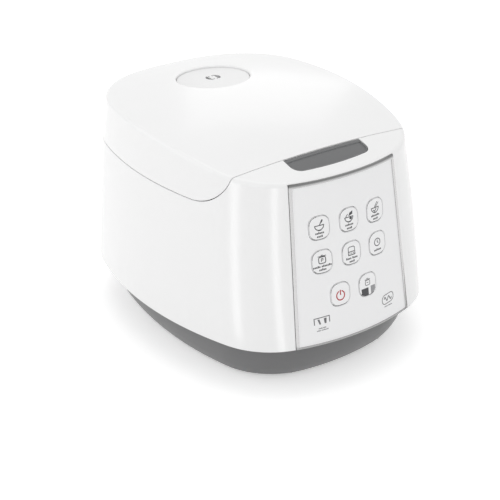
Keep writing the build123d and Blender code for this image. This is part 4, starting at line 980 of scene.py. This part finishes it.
@dataclass
class ControlPanel:
    """Printed panel with its eight keys."""

    finishes: Finishes
    printer: Printer
    joints: list[dict]
    line: float = 0.85
    fine: float = 0.7
    key_w: float = 21.6
    key_h: float = 23.3
    key_round: float = 8.2
    rim_inset: float = 0.45
    rim_width: float = 0.25
    # Inset and width of the painted shade along each key's edge.
    shade_inset: float = 0.55
    shade_width: float = 0.55
    patch_inset: float = 0.9
    left_mark: Point2 = (25.3, 19.0)
    right_mark: Point2 = (-26.0, 17.6)
    up: Vector = field(init=False)

    def dress(self) -> None:
        """Give the panel's sheet, trim and keys their finishes, and print them."""
        self.finishes.dress(self.trim(), "panel_frame")
        self.finishes.dress(Finishes.FILM, "panel_overlay")
        out = -Vector(next(joint for joint in self.joints if joint["name"] == "key_power_press")["axis"])
        self.up = out.cross(RIGHT).normalized()
        icons = {
            "key_program_1": self.bowl_and_spoon().caption(-3.9, ((6,), (4,))),
            "key_program_2": self.leaf_and_bowl().caption(-3.9, ((6,), (4,))),
            "key_program_3": self.bowl_and_sticks().caption(-3.9, ((7,), (4,))),
            "key_program_4": self.pot().caption(-3.4, ((5, 7), (5,))),
            "key_program_5": self.tray().caption(-3.9, ((4, 4), (4,))),
            "key_program_6": self.clock().caption(-5.4, ((6,),)),
            "key_power": self.power_mark(),
            "key_keep_warm": self.warm_pot(),
        }
        for key, icon in icons.items():
            self.finishes.dress(Finishes.KEY, key)
            self.print_key(key, "mark", icon, Finishes.RED_INK if key == "key_power" else Finishes.INK)
        self.print_key("key_keep_warm", "band", self.warm_patch(0.36, 0.93, -2.6), Finishes.SMOKE_INK)
        self.print_key("key_keep_warm", "patch", self.warm_patch(-0.82, 0.06, -3.2), Finishes.INK)
        for key in icons:
            self.print_key(key, "rim", self.rim(), Finishes.SMOKE_INK)
            # Painted shade of each key's relief, printed in dark ink at its upper left and lower end.
            self.print_key(key, "shade", self.rim_shade(), Finishes.INK)
        self._print_corners()

    def print_key(self, key: str, mark: str, drawing: Drawing, ink: Finish) -> None:
        """Print one mark on a key, as a piece that is named after both."""
        self.printer.lay(f"{key}_{mark}", drawing, self.bed(key), key, ink, "key_white")

    def trim(self) -> Finish:
        """Finish of the trim, with painted shade along its right, lower and upper bars.

        Returns:
            The finish.
        """
        low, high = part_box("panel_frame")
        # The tones paint shade into the trim's colour: darker bars at its right, lower and upper edges.
        tones = (
            Tone(0, high.x - 3.0 * MM, high.x - 1.8 * MM, (0.22, 0.22, 0.22)),
            Tone(2, low.z + 4.0 * MM, low.z + 1.0 * MM, (0.34, 0.34, 0.34)),
            Tone(2, high.z - 3.6 * MM, high.z - 0.8 * MM, (0.17, 0.17, 0.17)),
        )
        return replace(Finishes.TRIM, tones=tones)

    def bed(self, node: str, place: Vector | None = None) -> PrintBed:
        """Bed on a panel piece, centred on a place or on the piece's own middle."""
        return PrintBed(node, place or self.middle(node), RIGHT, self.up)

    def middle(self, node: str) -> Vector:
        """Middle of a piece across and up the panel.

        Args:
            node: Name of the piece.

        Returns:
            The point.
        """
        low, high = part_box(node)
        ups = [vertex.co.dot(self.up) for vertex in self.finishes.nodes[node].data.vertices]
        centre = (low + high) / 2
        return centre + self.up * ((min(ups) + max(ups)) / 2 - centre.dot(self.up))

    def inside(self, inset: float) -> Face2:
        """Outline on a key's top that stays an inset away from the key's edge."""
        return rounded(self.key_w - 2 * inset, self.key_h - 2 * inset, self.key_round - inset, 8)

    def rim(self) -> Drawing:
        """Thin line along a key's edge."""
        return Drawing().line(self.inside(self.rim_inset), self.rim_width, closed=True)

    def rim_shade(self) -> Drawing:
        """Painted shade: darker stretches of that line at its upper left and along its lower end, where an
        embossed key's relief is shaded.

        Returns:
            The drawing.
        """
        outline = self.inside(self.shade_inset)
        quarter = len(outline) // 4
        upper = outline[quarter : 2 * quarter]
        lower = outline[2 * quarter + 3 : 3 * quarter + quarter // 2]
        return Drawing().line(upper, self.shade_width).line(lower, self.shade_width)

    def bowl(self) -> Drawing:
        """Outline of a bowl on its foot."""
        drawing = Drawing().line(arc((0, 2.4), (4.7, 4.6), 180, 360, 14), self.line)
        return drawing.line([(-5.1, 2.4), (5.1, 2.4)], self.line).bar((0, -2.5), 3.4, 0.8)

    def bowl_and_spoon(self) -> Drawing:
        """A bowl with a spoon standing in it."""
        return self.bowl().line([(0.4, 2.8), (2.0, 5.4)], 0.9).line([(2.0, 5.0), (3.6, 7.6)], 1.6)

    def leaf_and_bowl(self) -> Drawing:
        """A bowl with a bean in it under a leaf.

        Returns:
            The drawing.
        """
        drawing = self.bowl().fill([(-0.4, 3.2), (1.0, 6.4), (4.6, 7.9), (4.2, 4.6)])
        drawing.line([(-3.6, 3.0), (-1.2, 5.6)], self.fine)
        return drawing.fill(arc((2.0, 0.9), (1.5, 1.3), 0, 360, 12)[:-1])

    def bowl_and_sticks(self) -> Drawing:
        """A bowl with two sticks and a tick."""
        drawing = self.bowl().line([(-0.6, 2.8), (3.2, 7.8)], 0.7).line([(0.8, 2.8), (5.0, 7.0)], 0.7)
        return drawing.line([(-2.4, 0.4), (-0.6, -1.0), (1.8, 1.4)], 0.9)

    def pot(self) -> Drawing:
        """A lidded pot with a small mark on its side.

        Returns:
            The drawing.
        """
        outline = [(x, y + 1.6) for x, y in rounded(7.2, 6.4, 1.6, 4)]
        drawing = Drawing().line(outline, self.line, closed=True).line([(-4.4, 5.6), (4.4, 5.6)], self.fine)
        sign = [(-0.9, 0.0), (-0.9, 3.2), (0.9, 3.2), (0.9, 1.6), (-0.9, 1.6)]
        return drawing.bar((0, 6.5), 2.0, self.fine).line(sign, 0.6)

    def tray(self) -> Drawing:
        """A covered tray over water.

        Returns:
            The drawing.
        """
        cover = [(-3.7, 1.6), (-3.7, 5.2), (-2.4, 6.2), (2.4, 6.2), (3.7, 5.2), (3.7, 1.6)]
        drawing = Drawing().line(cover, self.fine).bar((0, 1.3), 8.6, 0.8)
        drawing.line([(-3.7, 0.6), (-3.7, -1.9), (3.7, -1.9), (3.7, 0.6)], self.line)
        for x in (-2.0, 0.0, 2.0):
            drawing.bar((x, -0.4), self.fine, 1.2)
        return drawing

    def clock(self) -> Drawing:
        """A clock face with two hands."""
        drawing = Drawing().line(arc((0, 1.1), 3.7, 0, 360, 24)[:-1], self.line, closed=True)
        return drawing.line([(0, 3.6), (0, 1.0), (1.5, 0.2)], 0.8)

    def power_mark(self) -> Drawing:
        """A broken ring with an upright bar."""
        ring = arc((0, -1.3), (4.4, 4.7), 108, 432, 28)
        return Drawing().line(ring, 1.15).line([(0, -0.9), (0, 4.4)], 1.15)

    def warm_pot(self) -> Drawing:
        """A small lidded pot.

        Returns:
            The drawing.
        """
        outline = [(x, y + 1.8) for x, y in rounded(5.6, 5.0, 1.2, 4)]
        drawing = Drawing().line(outline, 0.6, closed=True).line([(-3.3, 5.1), (3.3, 5.1)], 0.6)
        return drawing.bar((0, 6.2), 2.0, 0.6).bar((0, 2.0), 2.4, 0.6)

    def warm_patch(self, left: float, right: float, level: float) -> Drawing:
        """Lower end of the key between two uprights.

        Args:
            left: Place of the left upright, as a share of the half width.
            right: Place of the right one.
            level: Height of the upper edge.

        Returns:
            The drawing.
        """
        half_w, half_h = self.key_w / 2 - self.patch_inset, self.key_h / 2 - self.patch_inset
        corner, steps = self.key_round - self.patch_inset, 14
        lower = []
        for step in range(steps + 1):
            x = half_w * (left + (right - left) * step / steps)
            over = max(0.0, abs(x) - (half_w - corner))
            lower.append((x, -half_h + corner - math.sqrt(max(0.0, corner**2 - over**2))))
        return Drawing().fill([*lower, (half_w * right, level), (half_w * left, level)])

    def _print_corners(self) -> None:
        """Print the small generic marks in the panel's lower corners."""
        low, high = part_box("panel_overlay")
        for side, edge, (x, z), drawing in (
            ("left", low.x, self.left_mark, self.inner_pot_mark()),
            ("right", high.x, self.right_mark, self.wave_mark()),
        ):
            bed = self.bed("panel_overlay", Vector((edge + x * MM, low.y, low.z + z * MM)))
            self.printer.lay(f"panel_mark_{side}", drawing, bed, "root", Finishes.PALE_INK, "panel_sheet")

    def inner_pot_mark(self) -> Drawing:
        """Two cups side by side in a frame.

        Returns:
            The drawing.
        """
        drawing = Drawing().line([(-8.0, 1.6), (-8.0, 8.0), (8.0, 8.0), (8.0, 1.6)], 0.9)
        drawing.fill([(-4.6, 6.6), (-2.8, 1.2), (-1.2, 1.2), (-2.6, 6.6)])
        drawing.fill([(2.0, 6.6), (2.6, 1.2), (4.4, 1.2), (5.0, 6.6)])
        return drawing.caption(-2.2, ((9,), (5, 8)), 1.2, 2.2)

    def wave_mark(self) -> Drawing:
        """A wave in a tilted badge.

        Returns:
            The drawing.
        """
        badge = [(x, y + 4.0 + 0.10 * x) for x, y in rounded(16.0, 9.4, 4.2, 6)]
        wave = [(-5.4 + step * 0.6, 4.0 + 2.0 * math.sin(step * 0.70)) for step in range(19)]
        return Drawing().line(badge, 0.8, closed=True).line(wave, 1.0).caption(-3.0, ((6, 7),), 1.1, 1.6)


@dataclass
class Lid:
    """Hinged lid with its inner plate, gasket, opening button and steam vent."""

    finishes: Finishes
    printer: Printer
    outlet: Point2 = (4.6, 6.8)
    bridge: float = 3.6
    # Width and offset of the painted shade along the outlets' edges.
    lip_width: float = 1.0
    lip_middle: float = 0.6
    tail: Point2 = (62.0, 77.0)
    tail_width: float = 1.8

    def dress(self) -> None:
        """Give the lid's pieces their finishes."""
        put = self.finishes.dress
        put(Finishes.SHELL, "lid_cover")
        put(Finishes.VENT_TOP, "vent_cap")
        put(Finishes.INNER_SHELL, "lid_liner", "steam_duct")
        # The vent cup is dressed black as painted shade, so that the vent's slots look dark.
        put(Finishes.BLACK, "vent_cup")
        put(Finishes.STEEL, "lid_screws", "lid_catch")
        put(Finishes.SILICONE, "inner_lid_gasket", "inner_lid_grommet", "vent_seal")
        put(Finishes.BUTTON, "open_button")
        put(centred("inner_lid_plate", Finishes.SPUN_PLATE), "inner_lid_plate")
        self._line_outlets()

    def _line_outlets(self) -> None:
        """Lay painted shade in dark ink along the edges of the vent's two curved outlets and in tails past
        their ends, where the slots are shaded.
        """
        low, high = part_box("vent_cap")
        inner, outer = self.outlet
        # Dark ink that paints the shade inside the outlet slots.
        outlet_shade = Drawing()
        for side in (0, 180):
            for reach in (inner - self.lip_middle, outer + self.lip_middle):
                half = math.degrees(math.acos(self.bridge / reach))
                outlet_shade.line(arc((0, 0), reach, side - half, side + half, 14), self.lip_width)
            for turn in (-1, 1):
                start, end = (side + turn * angle for angle in self.tail)
                outlet_shade.line(arc((0, 0), (inner + outer) / 2, start, end, 5), self.tail_width)
        bed = PrintBed("vent_cap", (low + high) / 2, RIGHT, BACK)
        self.printer.lay("vent_outlet_painted_shade", outlet_shade, bed, "vent", Finishes.INK, "casing_white")


@dataclass
class CookingPot:
    """Coated inner pot with its printed level marks."""

    finishes: Finishes
    printer: Printer
    levels: tuple[int, ...] = (2, 4, 6, 8, 10)
    first_rise: float = 40.0
    level_rise: float = 14.0
    facing: float = 68.0
    mark: Point2 = (9.0, 0.5)
    half_mark: Point2 = (4.5, 0.4)
    figure: float = 4.2
    figure_shift: float = 8.5

    def dress(self) -> None:
        """Give the pot its coating and print the levels on its inner wall."""
        self.finishes.dress(Finishes.COATED_POT, "inner_pot")
        low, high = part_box("inner_pot")
        axis = Vector(((low.x + high.x) / 2, (low.y + high.y) / 2, low.z))
        bed = RoundBed("inner_pot", axis, RIGHT, UP, radius=(high.x - low.x) / 2, facing=self.facing)
        marks = Drawing()
        for step, level in enumerate(self.levels):
            y = self.first_rise + step * self.level_rise
            marks.bar((0.0, y), *self.mark).bar((0.0, y - self.level_rise / 2), *self.half_mark)
            for face in numeral(str(level), self.figure).faces:
                marks.fill([(x + self.figure_shift, v + y) for x, v in face])
        self.printer.lay("pot_level_marks", marks, bed, "pot", Finishes.WHITE_INK, "pot_coating")


# ---- Floor, lamps and camera ----


@dataclass(frozen=True)
class SoftBox:
    """Rectangular lamp aimed at the cooker."""

    name: str
    place: tuple[float, float, float]
    width: float
    height: float
    power: float
    sheen_only: bool = False

    def build(self, aim: Vector) -> None:
        """Hang the lamp.

        Args:
            aim: Point that it faces.
        """
        data = bpy.data.lights.new(self.name, "AREA")
        data.shape = "RECTANGLE"
        data.size = self.width
        data.size_y = self.height
        data.energy = self.power
        lamp = add_object(self.name, data)
        lamp.location = self.place
        lamp.rotation_euler = (aim - lamp.location).to_track_quat("-Z", "Y").to_euler()
        if self.sheen_only:
            lamp.visible_camera = False
            lamp.visible_diffuse = False


@dataclass(frozen=True)
class Viewpoint:
    """Where the camera stands, in degrees round and above the cooker."""

    azimuth: float = -33.12
    elevation: float = 27.6
    roll: float = -1.4
    distance: float = 1.33458
    sensor: float = 36.0
    lens: float = 88.74
    target: tuple[float, float, float] = (-0.00099, 0.0023, 0.06204)

    def build(self) -> None:
        """Place the camera and make it the scene's."""
        data = bpy.data.cameras.new("camera")
        data.sensor_width = self.sensor
        data.lens = self.lens
        camera = add_object("camera", data)
        round_, above, tilt = (math.radians(angle) for angle in (self.azimuth, self.elevation, self.roll))
        right = Vector((math.cos(round_), math.sin(round_), 0.0))
        level = math.cos(above)
        back = Vector((math.sin(round_) * level, -math.cos(round_) * level, math.sin(above)))
        up = back.cross(right)
        tilted_right = right * math.cos(tilt) + up * math.sin(tilt)
        tilted_up = up * math.cos(tilt) - right * math.sin(tilt)
        turn = Matrix((tilted_right, tilted_up, back)).transposed()
        camera.matrix_world = Matrix.Translation(Vector(self.target) + back * self.distance) @ turn.to_4x4()
        bpy.context.scene.camera = camera


@dataclass
class Studio:
    """Pale floor, even surroundings, five soft lamps, and two strips that show only as sheen."""

    WHITE: ClassVar[tuple[float, ...]] = (1.0, 1.0, 1.0, 1.0)
    floor_half: float = 6.0
    floor_shade: float = 0.90
    floor_glow: float = 0.40
    floor_roughness: float = 0.9
    floor_specular: float = 0.1
    surroundings: float = 0.76
    aim: tuple[float, float, float] = (0.0, 0.0, 0.12)
    boxes: tuple[SoftBox, ...] = (
        SoftBox("corner lamp", (-1.45, -1.13, 0.95), 1.6, 1.7, 4.9),
        SoftBox("right lamp", (1.45, -1.25, 1.00), 1.2, 1.4, 2.6),
        SoftBox("overhead lamp", (0.15, 0.45, 2.30), 1.5, 1.5, 6.0),
        SoftBox("lid lamp", (1.03, 1.39, 1.08), 0.7, 0.9, 1.25),
        SoftBox("side lamp", (-1.50, 1.15, 1.15), 1.8, 1.8, 5.2),
        SoftBox("left strip", (-0.228, -0.162, 0.12), 0.035, 0.22, 0.055, sheen_only=True),
        SoftBox("front strip", (-0.118, -0.275, 0.12), 0.026, 0.22, 0.048, sheen_only=True),
    )

    def build(self) -> None:
        """Build the floor, the surroundings, the lamps and the camera."""
        self._floor()
        self._world()
        for box in self.boxes:
            box.build(Vector(self.aim))
        Viewpoint().build()
        bpy.context.scene.view_settings.view_transform = "Standard"

    def _floor(self) -> None:
        """Lay the floor under the feet."""
        half = self.floor_half
        mesh = bpy.data.meshes.new("floor")
        corners = [(-half, -half, 0), (half, -half, 0), (half, half, 0), (-half, half, 0)]
        mesh.from_pydata(corners, [], [(0, 1, 2, 3)])
        material = bpy.data.materials.new("pale floor")
        material.use_nodes = True
        wiring = Wiring(material.node_tree)
        inputs = {
            "Base Color": (*[self.floor_shade] * 3, 1.0),
            "Roughness": self.floor_roughness,
            "Specular IOR Level": self.floor_specular,
            "Emission Color": self.WHITE,
            "Emission Strength": wiring.maths("MULTIPLY", self._seen(wiring), self.floor_glow),
        }
        wiring.fill(material.node_tree.nodes["Principled BSDF"], inputs)
        mesh.materials.append(material)
        add_object("floor", mesh)

    def _world(self) -> None:
        """Surround the cooker with an even pale light."""
        world = bpy.data.worlds.new("surroundings")
        bpy.context.scene.world = world
        world.use_nodes = True
        wiring = Wiring(world.node_tree)
        strength = wiring.span(self._seen(wiring), self.surroundings, 1.0)
        wiring.fill(world.node_tree.nodes["Background"], {"Color": self.WHITE, "Strength": strength})

    @staticmethod
    def _seen(wiring: Wiring) -> Socket:
        """Value of 1 where the camera sees a surface, directly, in gloss or through something clear.

        Args:
            wiring: Nodes of the floor or of the surroundings.

        Returns:
            Socket of the value.
        """
        path = wiring.node("LightPath")
        seen = path.outputs["Is Camera Ray"]
        for name in ("Is Glossy Ray", "Is Transmission Ray"):
            seen = wiring.maths("MAXIMUM", seen, path.outputs[name])
        return seen


def main() -> None:
    """Load the frame, dress every sub-assembly and build the studio."""
    logging.basicConfig(level=logging.INFO, format="%(name)s: %(message)s")
    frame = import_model()
    finishes = Finishes(frame["nodes"])
    printer = Printer(finishes)
    Housing(finishes).dress()
    ControlPanel(finishes, printer, frame["joints"]).dress()
    Lid(finishes, printer).dress()
    CookingPot(finishes, printer).dress()
    Studio().build()


if __name__ == "__main__":
    main()
